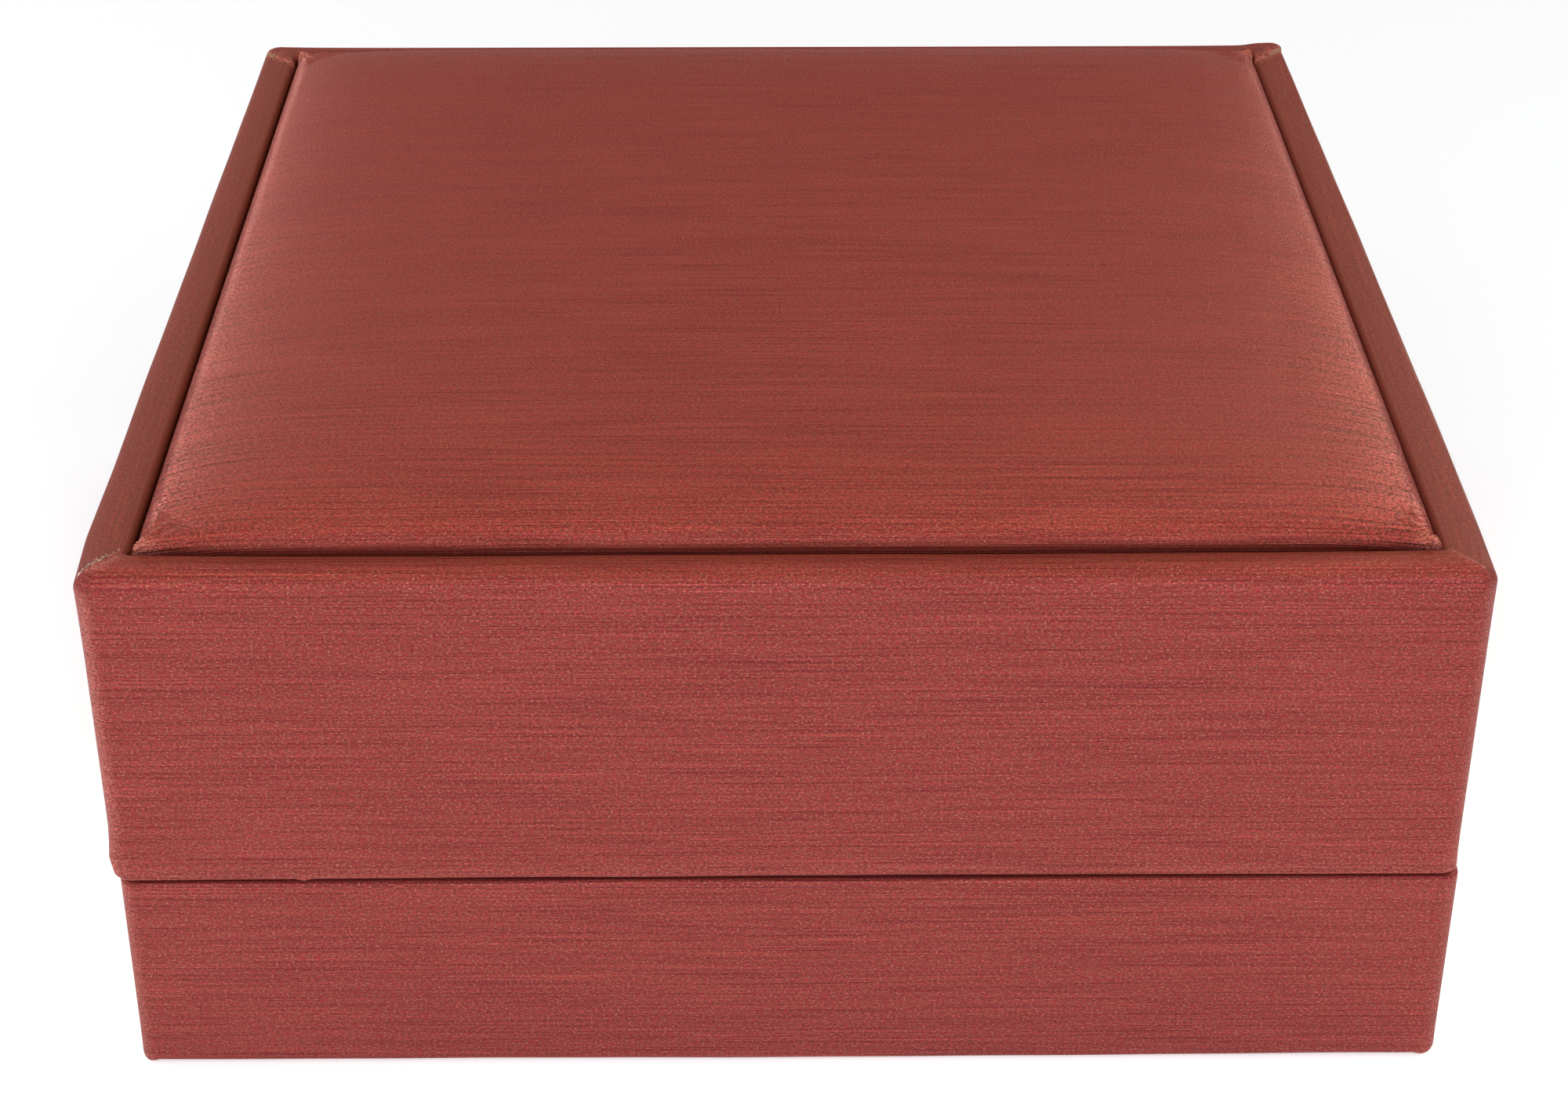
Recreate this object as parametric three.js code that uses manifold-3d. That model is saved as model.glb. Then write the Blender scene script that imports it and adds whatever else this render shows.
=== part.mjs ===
// Necklace box: a square hinged box with a padded lid, covered all over in brushed leatherette paper.
// Millimetres, +Z up. The origin is the centre of the underside, the front faces -Y, the hinges are at +Y.

import * as THREE from "three";
import { mergeVertices } from "three/addons/utils/BufferGeometryUtils.js";
import Module from "manifold-3d";

const wasm = await Module();
wasm.setup();

// Outer form
const boxWidth = 100;
const boxDepth = 100;
const rimHeight = 44; // floor to the top of the lid's rim
const baseHeight = 17.6; // floor to the top edge of the base
const partingGap = 0.4; // slit between the base and the closed lid
const cornerRadius = 2; // upright corners, over the covering
const innerCornerRadius = 0.5; // least radius of a corner on an inner wall

// Covering paper and the glue behind it
const wrapThickness = 0.4;
const glueLine = 0.1;
const turnIn = 4; // how far the paper runs on inside a wall or over a floor
const underMargin = 8; // how far it is turned in under the base

// Moulded shells
const shellWall = 2;
const shellEdge = 0.4; // radius of every edge
const baseFloor = 2;
const lidPlate = 2; // plate under the lid's padded panel
const recessDepth = 4; // rim top down to that plate

// Underside sheet, which the box stands on
const sheetThickness = 0.3;
const sheetMargin = 3; // box edge to sheet edge

// Padded panel in the lid's recess
const panelGroove = 0.8; // rim to panel
const panelBoard = 1.5;
const panelRise = 1.2; // rim top up to the panel's shoulder
const panelEdge = 1; // radius of its rolled edge
const panelCrown = 2.2; // shoulder up to the middle
const panelCorner = 1; // corner radius in plan

// Linings
const stripThickness = 1.2; // velvet or satin over card
const stripRoll = 0.4; // radius along a strip's free edge
const stripGap = 0.2; // between neighbouring strips
const collarRise = 3.4; // the base's top edge up to the top of its collar
const collarClearance = 0.4; // collar to the turned-in paper
const floorLining = 0.4;
const ceilingCard = 1.2;
const ceilingPad = 1; // satin and wadding at the ceiling's edge
const ceilingRoll = 0.5;
const ceilingCrown = 0.6;

// Necklace pad
const padClearance = 0.4; // collar to pad
const padSeat = 0.3; // floor lining to the pad's foot
const padBoard = 1.2;
const padBoardHeight = 7.4;
const padFoam = 2.4;
const padVelvet = 0.8;
const padRoll = 0.9;
const padCrown = 0.7;
const padCorner = 2;
const padSkirtLift = 0.6; // the velvet ends this far above the foot
const slitLength = 14;
const slitWidth = 1.4;
const slitAngle = 35; // degrees from the X axis
const slitInsetX = 20; // pad edge to the slit's middle
const slitInsetY = 16;

// Spring hinges
const hingeInset = 22; // box side to the middle of a hinge
const hingeWidth = 18;
const lidKnuckle = 5.7; // length of the lid leaf's one knuckle
const knuckleGap = 0.3;
const notchClearance = 0.3; // round the hinge, where it passes through the walls
const leafThickness = 0.6;
const leafHeight = 8.6;
const pinRadius = 0.6;
const pinClearance = 0.05;
const camFlat = 1.05; // axis to the two flats that the spring bears on
const camTurn = 95; // degrees from one flat to the other, which is how far the lid opens
const springThickness = 0.4;
const springWidth = 5;
const springGap = 0.3; // spring to flat, which leaves room for the turning cam
const springFoot = 4.6; // the stretch that lies on the leaf
const springBend = 4.2; // axis down to where the spring leaves the leaf
const springShoulder = 1.7; // axis down to where it turns upright again
const rivetShank = 0.7;
const rivetHead = 1.4;
const rivetHeadHeight = 0.6;
const rivetDepth = 1.2; // into the wall
const rivetClearance = 0.1;
const rivetSpacing = 12;
const rivetDrop = 6.2; // axis to the line of rivets

// Facets
const cornerSteps = 4;
const foldSteps = 2;
const barrelSides = 20;
const rivetSides = 12;
const rollSteps = 4;
const domeSteps = 9;

// Insets from the box's outer face, and levels above the floor
const shellInset = wrapThickness + glueLine;
const shellInner = shellInset + shellWall;
const wallThickness = shellInner + shellInset;
const foldRadius = shellEdge + shellInset;
const liningInset = shellInner + shellEdge;
const lidBottom = baseHeight + partingGap;
const collarHeight = baseHeight + collarRise;
const wrapBottom = sheetThickness + glueLine;
const shellBottom = wrapBottom + shellInset;
const floorTop = shellBottom + baseFloor;
const liningTop = floorTop + glueLine + floorLining;
const plateTop = rimHeight - recessDepth;
const plateBottom = plateTop - lidPlate;
const recessFloor = plateTop + shellInset;
const panelBottom = recessFloor + glueLine;
const panelBoardTop = panelBottom + panelBoard;
const ceilingTop = plateBottom - glueLine;
const ceilingBottom = ceilingTop - ceilingCard;

// The hinge axis lies in the plane of the rear face, in the middle of the parting slit
const hingeY = boxDepth / 2;
const hingeZ = baseHeight + partingGap / 2;
const boreRadius = pinRadius + pinClearance;
const knuckleRadius = boreRadius + leafThickness;
const innerBackY = boxDepth / 2 - shellInner;
const leafFrontY = innerBackY - glueLine - leafThickness;
const springFrontY = leafFrontY - glueLine - springThickness;
const springBackY = hingeY - camFlat - springGap;
const hingeX = boxWidth / 2 - hingeInset;
const hingePlaces = { left: -hingeX, right: hingeX };
const leafRivets = [-rivetSpacing / 2, rivetSpacing / 2];
const baseRivets = [-rivetSpacing / 2, 0, rivetSpacing / 2];

// Finishes
function finish(color, roughness, metalness) {
  return new THREE.MeshStandardMaterial({ color, roughness, metalness });
}

const leatherette = finish(0x9b4a45, 0.45, 0.25);
const plastic = finish(0x2a2526, 0.6, 0);
const card = finish(0xb9a58c, 0.9, 0);
const foam = finish(0xe8e2d2, 0.95, 0);
const velvet = finish(0xdccdb6, 0.95, 0);
const satin = finish(0xe9dfcf, 0.4, 0);
const underPaper = finish(0x2c2223, 0.9, 0);
const steel = finish(0xb9b9b6, 0.35, 1);

// A closed geometry as a solid that can be cut and joined, and back again
const mergeDistance = 1e-4;

function solidOf(geometry) {
  const bare = geometry.clone();
  bare.deleteAttribute("normal");
  bare.deleteAttribute("uv");
  const merged = mergeVertices(bare, mergeDistance);
  const vertProperties = merged.attributes.position.array;
  const triVerts = new Uint32Array(merged.index.array);
  return new wasm.Manifold(new wasm.Mesh({ numProp: 3, vertProperties, triVerts }));
}

function geometryOf(solid) {
  const mesh = solid.getMesh();
  const geometry = new THREE.BufferGeometry();
  geometry.setAttribute("position", new THREE.BufferAttribute(mesh.vertProperties, 3));
  geometry.setIndex(new THREE.BufferAttribute(mesh.triVerts, 1));
  geometry.computeVertexNormals();
  return geometry;
}

function cut(whole, ...pieces) {
  return geometryOf(pieces.reduce((rest, piece) => rest.subtract(solidOf(piece)), solidOf(whole)));
}

function join(first, ...others) {
  return geometryOf(others.reduce((sum, other) => sum.add(solidOf(other)), solidOf(first)));
}

// A box between two opposite corners, given in any order
function block(from, to) {
  const size = from.map((value, axis) => Math.abs(to[axis] - value));
  const middle = from.map((value, axis) => (to[axis] + value) / 2);
  return new THREE.BoxGeometry(...size).translate(...middle);
}

// Rods along Y and X, centred on their length
function rodY(radius, length) {
  return new THREE.CylinderGeometry(radius, radius, length, rivetSides);
}

function rodX(radius, length) {
  return new THREE.CylinderGeometry(radius, radius, length, barrelSides).rotateZ(Math.PI / 2);
}

// A section drawn in Y and Z, drawn out along X and centred on its length
function barX(section, length) {
  const options = { depth: length, bevelEnabled: false, curveSegments: foldSteps };
  const bar = new THREE.ExtrudeGeometry(section, options);
  return bar.translate(0, 0, -length / 2).rotateX(Math.PI / 2).rotateZ(Math.PI / 2);
}

// The loop of a rounded rectangle, counter-clockwise seen from above
function loopPoints(halfX, halfY, radius, z) {
  const corners = [[1, 1], [-1, 1], [-1, -1], [1, -1]];
  return corners.flatMap(([sideX, sideY], quarter) =>
    Array.from({ length: cornerSteps + 1 }, (_, step) => {
      const angle = ((quarter + step / cornerSteps) * Math.PI) / 2;
      const x = sideX * (halfX - radius) + radius * Math.cos(angle);
      const y = sideY * (halfY - radius) + radius * Math.sin(angle);
      return new THREE.Vector3(x, y, z);
    }),
  );
}

// The box's own outline, moved in from its outer face
function boxLoop([inset, z]) {
  const radius = Math.max(cornerRadius - inset, innerCornerRadius);
  return loopPoints(boxWidth / 2 - inset, boxDepth / 2 - inset, radius, z);
}

// A skin over loops, each joined to the next: closed to a ring, or capped at the first and the last loop
function loft(loops, isRing = false) {
  const count = loops[0].length;
  const points = loops.flat();
  const index = [];
  const bands = isRing ? loops.length : loops.length - 1;
  for (let band = 0; band < bands; band += 1) {
    const here = band * count;
    const there = ((band + 1) % loops.length) * count;
    for (let side = 0; side < count; side += 1) {
      const next = (side + 1) % count;
      index.push(here + side, here + next, there + next);
      index.push(here + side, there + next, there + side);
    }
  }
  const addCap = (loop, first, isFirst) => {
    const middle = loop.reduce((sum, point) => sum.add(point), new THREE.Vector3()).divideScalar(count);
    const centre = points.push(middle) - 1;
    for (let side = 0; side < count; side += 1) {
      const edge = [first + side, first + ((side + 1) % count)];
      index.push(...(isFirst ? edge.reverse() : edge), centre);
    }
  };
  if (!isRing) {
    addCap(loops[0], 0, true);
    addCap(loops.at(-1), (loops.length - 1) * count, false);
  }
  return new THREE.BufferGeometry().setFromPoints(points).setIndex(index);
}

// A flat sheet with the box's outline
function sheet(inset, bottom, top) {
  return loft([boxLoop([inset, bottom]), boxLoop([inset, top])]);
}

// A line through right-angled corners, each rounded to an arc
function foldedLine(corners, radius) {
  const points = corners.map((corner) => new THREE.Vector2(...corner));
  const line = [points[0]];
  for (let i = 1; i < points.length - 1; i += 1) {
    const toBefore = points[i - 1].clone().sub(points[i]).setLength(radius);
    const toAfter = points[i + 1].clone().sub(points[i]).setLength(radius);
    for (let step = 0; step <= foldSteps; step += 1) {
      const angle = ((step / foldSteps) * Math.PI) / 2;
      const point = points[i].clone().addScaledVector(toBefore, 1 - Math.sin(angle));
      line.push(point.addScaledVector(toAfter, 1 - Math.cos(angle)));
    }
  }
  line.push(points.at(-1));
  return line.map((point) => point.toArray());
}

// The same line, moved to its right
function offsetLine(line, distance) {
  const points = line.map((point) => new THREE.Vector2(...point));
  const headings = points.slice(1).map((point, i) => point.clone().sub(points[i]).normalize());
  return points.map((point, i) => {
    const before = headings[Math.max(i - 1, 0)];
    const after = headings[Math.min(i, headings.length - 1)];
    const along = before.clone().add(after).normalize();
    const reach = distance / along.dot(after);
    return [point.x + along.y * reach, point.y - along.x * reach];
  });
}

// Moulded shell: one wall followed from its inner face round its edges, with the floor as the two caps
function shell(corners) {
  return loft(foldedLine(corners, shellEdge).map(boxLoop));
}

// Covering paper folded along its outer face
function wrap(corners) {
  const outside = foldedLine(corners, foldRadius);
  const inside = offsetLine(outside, wrapThickness).reverse();
  return loft([...outside, ...inside].map(boxLoop), true);
}

// Loops of a cushion: straight sides, a rolled edge, and a crown that levels off towards the middle
function cushionLoops({ halfX, halfY, corner, bottom, shoulder, roll, crown }) {
  const levelling = 4; // how soon the crown levels off
  const crowding = 1.5; // how close the loops lie near the edge
  const cornerGrowth = 0.8; // corner radius gained for each millimetre inwards
  const roundest = 0.95; // corner radius as a share of a loop's half width, at most
  const reach = Math.min(halfX, halfY);
  const loopAt = (inset, z) => {
    const radius = Math.min(corner + cornerGrowth * inset, roundest * (reach - inset));
    return loopPoints(halfX - inset, halfY - inset, radius, z);
  };
  const loops = [loopAt(0, bottom)];
  for (let step = 0; step <= rollSteps; step += 1) {
    const angle = ((step / rollSteps) * Math.PI) / 2;
    loops.push(loopAt(roll * (1 - Math.cos(angle)), shoulder - roll * (1 - Math.sin(angle))));
  }
  for (let step = 1; step <= domeSteps; step += 1) {
    const share = (step / (domeSteps + 1)) ** crowding;
    const rise = crown * (1 - (1 - share) ** levelling);
    loops.push(loopAt(roll + share * (reach - roll), shoulder + rise));
  }
  return loops;
}

// A lining strip on its edge along X, with a rolled top
function liningStrip(length, height) {
  const half = stripThickness / 2;
  const section = new THREE.Shape();
  section.moveTo(-half, 0);
  section.lineTo(half, 0);
  section.absarc(half - stripRoll, height - stripRoll, stripRoll, 0, Math.PI / 2);
  section.absarc(stripRoll - half, height - stripRoll, stripRoll, Math.PI / 2, Math.PI);
  return barX(section, length);
}

// Four strips round a rectangle: front and back up to the rounded corners, the sides between them
function stripsRound(halfX, frontY, backY, bottom, top) {
  const inset = stripThickness / 2;
  const sideLength = backY - frontY - 2 * (stripThickness + stripGap);
  const across = () => liningStrip(2 * (halfX - innerCornerRadius), top - bottom);
  const along = () => liningStrip(sideLength, top - bottom).rotateZ(Math.PI / 2);
  return {
    front: across().translate(0, frontY + inset, bottom),
    back: across().translate(0, backY - inset, bottom),
    left: along().translate(inset - halfX, (frontY + backY) / 2, bottom),
    right: along().translate(halfX - inset, (frontY + backY) / 2, bottom),
  };
}

// What both hinges take out of the rear wall: the full wall at the barrel, the turned-in paper at the leaves
function hingeCuts(halfWidth, frontY, backY, from, to) {
  const places = Object.values(hingePlaces);
  return places.map((x) => block([x - halfWidth, frontY, from], [x + halfWidth, backY, to]));
}

const notchHalf = hingeWidth / 2 + notchClearance;
const notchReach = knuckleRadius + notchClearance;
const paperInnerY = boxDepth / 2 - wallThickness - notchClearance;
const pocketHalf = springWidth / 2 + notchClearance;
const pocketBackY = springBackY + notchClearance;

function barrelNotches(from, to) {
  return hingeCuts(notchHalf, paperInnerY, boxDepth / 2 + notchReach, from, to);
}

function leafNotches(from, to) {
  return hingeCuts(notchHalf, paperInnerY, innerBackY, from, to);
}

function rivetHoles(offsets, z) {
  const hole = () => rodY(rivetShank + rivetClearance, 2 * (rivetDepth + rivetClearance));
  const places = Object.values(hingePlaces);
  return places.flatMap((x) => offsets.map((offset) => hole().translate(x + offset, innerBackY, z)));
}

// Base
function baseShell() {
  const top = baseHeight - shellInset;
  const tray = shell([
    [underMargin, shellBottom],
    [shellInset, shellBottom],
    [shellInset, top],
    [shellInner, top],
    [shellInner, floorTop],
    [underMargin, floorTop],
  ]);
  const notches = barrelNotches(hingeZ - notchReach, baseHeight);
  const pockets = hingeCuts(pocketHalf, paperInnerY, pocketBackY, hingeZ - springBend, baseHeight);
  return cut(tray, ...notches, ...pockets, ...rivetHoles(baseRivets, hingeZ - rivetDrop));
}

function baseWrap() {
  const paper = wrap([
    [underMargin, wrapBottom],
    [0, wrapBottom],
    [0, baseHeight],
    [wallThickness, baseHeight],
    [wallThickness, baseHeight - turnIn],
  ]);
  const notches = barrelNotches(hingeZ - notchReach, lidBottom);
  return cut(paper, ...notches, ...leafNotches(baseHeight - 2 * turnIn, lidBottom));
}

// The collar stands inside the turned-in paper, and at the back inside the hinges' rivet heads
const collarX = boxWidth / 2 - wallThickness - collarClearance;
const collarFrontY = wallThickness + collarClearance - boxDepth / 2;
const collarBackY = springFrontY - glueLine - rivetHeadHeight - notchClearance;
const collarBottom = liningTop + glueLine;

// Necklace pad, about its own middle: a card tray turned over, foam on it, velvet over both
const padFrontY = collarFrontY + stripThickness + padClearance;
const padBackY = collarBackY - stripThickness - padClearance;
const padHalfX = collarX - stripThickness - padClearance;
const padHalfY = (padBackY - padFrontY) / 2;
const padFoot = liningTop + padSeat;
const padBoardTop = padFoot + padBoardHeight;
const padFoamBottom = padBoardTop + glueLine;
const padShoulder = padFoamBottom + padFoam + glueLine + padVelvet;

function chainSlits() {
  return [-1, 1].map((side) =>
    new THREE.BoxGeometry(slitLength, slitWidth, 2 * rimHeight)
      .rotateZ(THREE.MathUtils.degToRad(-side * slitAngle))
      .translate(side * (padHalfX - slitInsetX), padHalfY - slitInsetY, 0),
  );
}

function padTray() {
  const outer = padVelvet + glueLine;
  const inner = outer + padBoard;
  const line = [
    [inner, padBoardTop - padBoard],
    [inner, padFoot],
    [outer, padFoot],
    [outer, padBoardTop],
  ];
  const loops = line.map(([inset, z]) => loopPoints(padHalfX - inset, padHalfY - inset, padCorner, z));
  return cut(loft(loops), ...chainSlits());
}

function padLoops(inset, bottom) {
  return cushionLoops({
    halfX: padHalfX - inset,
    halfY: padHalfY - inset,
    corner: padCorner,
    bottom,
    shoulder: padShoulder - inset,
    roll: padRoll,
    crown: padCrown,
  });
}

function padFoamBlock() {
  return cut(loft(padLoops(padVelvet + glueLine, padFoamBottom)), ...chainSlits());
}

function padCover() {
  const hem = padFoot + padSkirtLift;
  return cut(loft([...padLoops(padVelvet, hem).reverse(), ...padLoops(0, hem)]), ...chainSlits());
}

// Lid
function lidShell() {
  const bottom = lidBottom + shellInset;
  const top = rimHeight - shellInset;
  const core = shell([
    [shellInner + turnIn, plateBottom],
    [shellInner, plateBottom],
    [shellInner, bottom],
    [shellInset, bottom],
    [shellInset, top],
    [shellInner, top],
    [shellInner, plateTop],
    [shellInner + turnIn, plateTop],
  ]);
  const notches = barrelNotches(lidBottom, hingeZ + notchReach);
  return cut(core, ...notches, ...rivetHoles(leafRivets, hingeZ + rivetDrop));
}

function lidWrap() {
  const paper = wrap([
    [wallThickness, lidBottom + turnIn],
    [wallThickness, lidBottom],
    [0, lidBottom],
    [0, rimHeight],
    [wallThickness, rimHeight],
    [wallThickness, recessFloor],
    [wallThickness + turnIn, recessFloor],
  ]);
  const notches = barrelNotches(baseHeight, hingeZ + notchReach);
  return cut(paper, ...notches, ...leafNotches(baseHeight, lidBottom + 2 * turnIn));
}

// Padded panel: a board in the recess, foam on it, and a cover drawn over both
function panelLoops(inset, bottom) {
  const gap = wallThickness + panelGroove + inset;
  return cushionLoops({
    halfX: boxWidth / 2 - gap,
    halfY: boxDepth / 2 - gap,
    corner: panelCorner,
    bottom,
    shoulder: rimHeight + panelRise - inset,
    roll: panelEdge,
    crown: panelCrown,
  });
}

function panelBoardSheet() {
  const gap = wallThickness + panelGroove + shellInset;
  const loopAt = (z) => loopPoints(boxWidth / 2 - gap, boxDepth / 2 - gap, panelCorner, z);
  return loft([loopAt(panelBottom), loopAt(panelBoardTop)]);
}

function panelFoamBlock() {
  return loft(panelLoops(shellInset, panelBoardTop + glueLine));
}

function panelCover() {
  return loft([...panelLoops(wrapThickness, panelBottom).reverse(), ...panelLoops(0, panelBottom)]);
}

// The lid's lining hangs from the plate: a card, a satin pad on it, and strips round the walls below
const lidStripX = boxWidth / 2 - shellInner - glueLine;
const lidStripFrontY = shellInner + glueLine - boxDepth / 2;
const lidStripBackY = leafFrontY - glueLine - rivetHeadHeight - notchClearance;
const lidStripBottom = Math.max(lidBottom + turnIn, collarHeight + partingGap) + stripGap;
const lidStripTop = ceilingBottom - glueLine - ceilingPad - glueLine;

function ceilingSatin() {
  const loops = cushionLoops({
    halfX: boxWidth / 2 - liningInset,
    halfY: boxDepth / 2 - liningInset,
    corner: innerCornerRadius,
    bottom: 0,
    shoulder: ceilingPad,
    roll: ceilingRoll,
    crown: ceilingCrown,
  });
  return loft(loops).rotateX(Math.PI).translate(0, 0, ceilingBottom - glueLine);
}

// Spring hinge about its own axis. The side is -1 for the base's half and 1 for the lid's
const leafFront = leafFrontY - hingeY;
const leafBack = leafFront + leafThickness;
const springFront = springFrontY - hingeY;
const springBack = springBackY - hingeY;
const baseKnuckle = (hingeWidth - lidKnuckle) / 2 - knuckleGap;
const baseKnuckles = [-1, 1].map((end) => (end * (hingeWidth - baseKnuckle)) / 2);

function leafPlate(side, rivets) {
  const ends = [boreRadius, leafHeight].map((distance) => side * distance);
  const plate = block([-hingeWidth / 2, leafFront, ends[0]], [hingeWidth / 2, leafBack, ends[1]]);
  const hole = () => rodY(rivetShank + rivetClearance, 4 * leafThickness);
  return cut(plate, ...rivets.map((x) => hole().translate(x, leafFront, side * rivetDrop)));
}

function leafTongue(side, x, length) {
  const ends = [boreRadius, knuckleRadius].map((distance) => side * distance);
  return block([x - length / 2, leafFront, ends[0]], [x + length / 2, 0, ends[1]]);
}

function baseLeaf() {
  const knuckles = baseKnuckles.map((x) => rodX(knuckleRadius, baseKnuckle).translate(x, 0, 0));
  const tongues = baseKnuckles.map((x) => leafTongue(-1, x, baseKnuckle));
  const leaf = join(leafPlate(-1, baseRivets), ...tongues, ...knuckles);
  const springWay = block(
    [-pocketHalf, leafFront - leafThickness, -springBend - notchClearance],
    [pocketHalf, leafBack + leafThickness, 0],
  );
  return cut(leaf, springWay, rodX(boreRadius, 2 * hingeWidth));
}

function lidLeaf() {
  const shaving = () =>
    block([-lidKnuckle, -2 * knuckleRadius, -knuckleRadius], [lidKnuckle, -camFlat, knuckleRadius]);
  const turned = shaving().rotateX(THREE.MathUtils.degToRad(camTurn));
  const cam = cut(rodX(knuckleRadius, lidKnuckle), shaving(), turned);
  const leaf = join(leafPlate(1, leafRivets), leafTongue(1, 0, lidKnuckle), cam);
  return cut(leaf, rodX(boreRadius, 2 * hingeWidth));
}

// Flat spring: riveted to the base leaf, bent back through the wall, upright again at the cam
function hingeSpring() {
  const upright = springBack - springThickness;
  const front = [
    [springFront, -springBend - springFoot],
    [springFront, -springBend],
    [upright, -springShoulder],
    [upright, boreRadius - springGap],
  ];
  const outline = [...front, ...offsetLine(front, springThickness).reverse()];
  const section = new THREE.Shape(outline.map((point) => new THREE.Vector2(...point)));
  const hole = rodY(rivetShank + rivetClearance, 4 * springThickness);
  return cut(barX(section, springWidth), hole.translate(0, springFront, -rivetDrop));
}

// Rivet along Y with its head in front, seated on what it holds
function rivet(seat) {
  const tip = leafBack + glueLine + rivetDepth;
  const root = seat - rivetHeadHeight / 2;
  const shank = rodY(rivetShank, tip - root).translate(0, (tip + root) / 2, 0);
  return join(shank, rodY(rivetHead, rivetHeadHeight).translate(0, root, 0));
}

// Assembly
function addPiece(group, name, geometry, material) {
  const piece = new THREE.Mesh(geometry, material);
  piece.name = name;
  group.add(piece);
  return piece;
}

function addStrips(group, prefix, strips, material) {
  for (const [side, geometry] of Object.entries(strips)) {
    addPiece(group, `${prefix}_${side}`, geometry, material);
  }
}

function addRivets(group, prefix, offsets, z, seatAt) {
  offsets.forEach((x, i) => {
    const piece = addPiece(group, `${prefix}_${i + 1}`, rivet(seatAt(x)), steel);
    piece.position.set(x, 0, z);
  });
}

const base = new THREE.Group();
addPiece(base, "base_shell", baseShell(), plastic);
addPiece(base, "base_wrap", baseWrap(), leatherette);
addPiece(base, "underside_sheet", sheet(sheetMargin, 0, sheetThickness), underPaper);
addPiece(base, "floor_lining", sheet(liningInset, floorTop + glueLine, liningTop), velvet);
const collarStrips = stripsRound(collarX, collarFrontY, collarBackY, collarBottom, collarHeight);
addStrips(base, "collar", collarStrips, velvet);

const pad = new THREE.Group();
pad.position.y = (padFrontY + padBackY) / 2;
addPiece(pad, "pad_board", padTray(), card);
addPiece(pad, "pad_foam", padFoamBlock(), foam);
addPiece(pad, "pad_velvet", padCover(), velvet);

const lid = new THREE.Group();
addPiece(lid, "lid_shell", lidShell(), plastic);
addPiece(lid, "lid_wrap", lidWrap(), leatherette);
addPiece(lid, "lid_panel_board", panelBoardSheet(), card);
addPiece(lid, "lid_panel_foam", panelFoamBlock(), foam);
addPiece(lid, "lid_panel_cover", panelCover(), leatherette);
addPiece(lid, "lid_ceiling_card", sheet(liningInset, ceilingBottom, ceilingTop), card);
addPiece(lid, "lid_ceiling_satin", ceilingSatin(), satin);
const lidStrips = stripsRound(lidStripX, lidStripFrontY, lidStripBackY, lidStripBottom, lidStripTop);
addStrips(lid, "lid_strip", lidStrips, satin);

for (const [side, x] of Object.entries(hingePlaces)) {
  const fixedHalf = new THREE.Group();
  const movingHalf = new THREE.Group();
  fixedHalf.position.set(x, hingeY, hingeZ);
  movingHalf.position.copy(fixedHalf.position);
  base.add(fixedHalf);
  lid.add(movingHalf);

  const leafSeat = leafFront - glueLine;
  const springSeat = springFront - glueLine;
  addPiece(fixedHalf, `hinge_base_leaf_${side}`, baseLeaf(), steel);
  addPiece(fixedHalf, `hinge_pin_${side}`, rodX(pinRadius, hingeWidth), steel);
  addPiece(fixedHalf, `hinge_spring_${side}`, hingeSpring(), steel);
  const baseSeat = (offset) => (offset === 0 ? springSeat : leafSeat);
  addRivets(fixedHalf, `base_rivet_${side}`, baseRivets, -rivetDrop, baseSeat);
  addPiece(movingHalf, `hinge_lid_leaf_${side}`, lidLeaf(), steel);
  addRivets(movingHalf, `lid_rivet_${side}`, leafRivets, rivetDrop, () => leafSeat);
}

const box = new THREE.Group();
box.add(base, pad, lid);

export default box;
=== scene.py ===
import math

import bmesh
import bpy
import numpy as np
from mathutils import Matrix, Vector


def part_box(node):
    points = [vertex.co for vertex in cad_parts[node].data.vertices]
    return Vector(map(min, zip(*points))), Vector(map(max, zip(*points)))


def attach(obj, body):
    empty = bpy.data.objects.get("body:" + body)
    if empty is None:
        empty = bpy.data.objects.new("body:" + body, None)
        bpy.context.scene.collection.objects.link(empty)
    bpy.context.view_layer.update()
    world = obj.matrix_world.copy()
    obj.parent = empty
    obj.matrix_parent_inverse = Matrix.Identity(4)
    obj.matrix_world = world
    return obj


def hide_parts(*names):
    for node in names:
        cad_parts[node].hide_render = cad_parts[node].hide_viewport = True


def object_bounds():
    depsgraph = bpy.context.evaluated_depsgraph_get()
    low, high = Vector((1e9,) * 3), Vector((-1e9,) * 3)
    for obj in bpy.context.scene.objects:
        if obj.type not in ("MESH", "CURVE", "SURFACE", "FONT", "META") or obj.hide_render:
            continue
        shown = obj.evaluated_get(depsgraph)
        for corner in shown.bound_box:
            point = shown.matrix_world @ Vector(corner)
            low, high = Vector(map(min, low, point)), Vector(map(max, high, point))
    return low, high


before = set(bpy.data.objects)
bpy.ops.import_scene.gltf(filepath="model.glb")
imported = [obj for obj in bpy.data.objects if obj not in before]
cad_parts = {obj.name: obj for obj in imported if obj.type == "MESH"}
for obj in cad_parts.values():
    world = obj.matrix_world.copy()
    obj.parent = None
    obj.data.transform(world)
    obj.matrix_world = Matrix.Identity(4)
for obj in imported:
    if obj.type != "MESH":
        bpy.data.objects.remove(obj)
cad_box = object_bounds()
mm = 0.001


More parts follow.
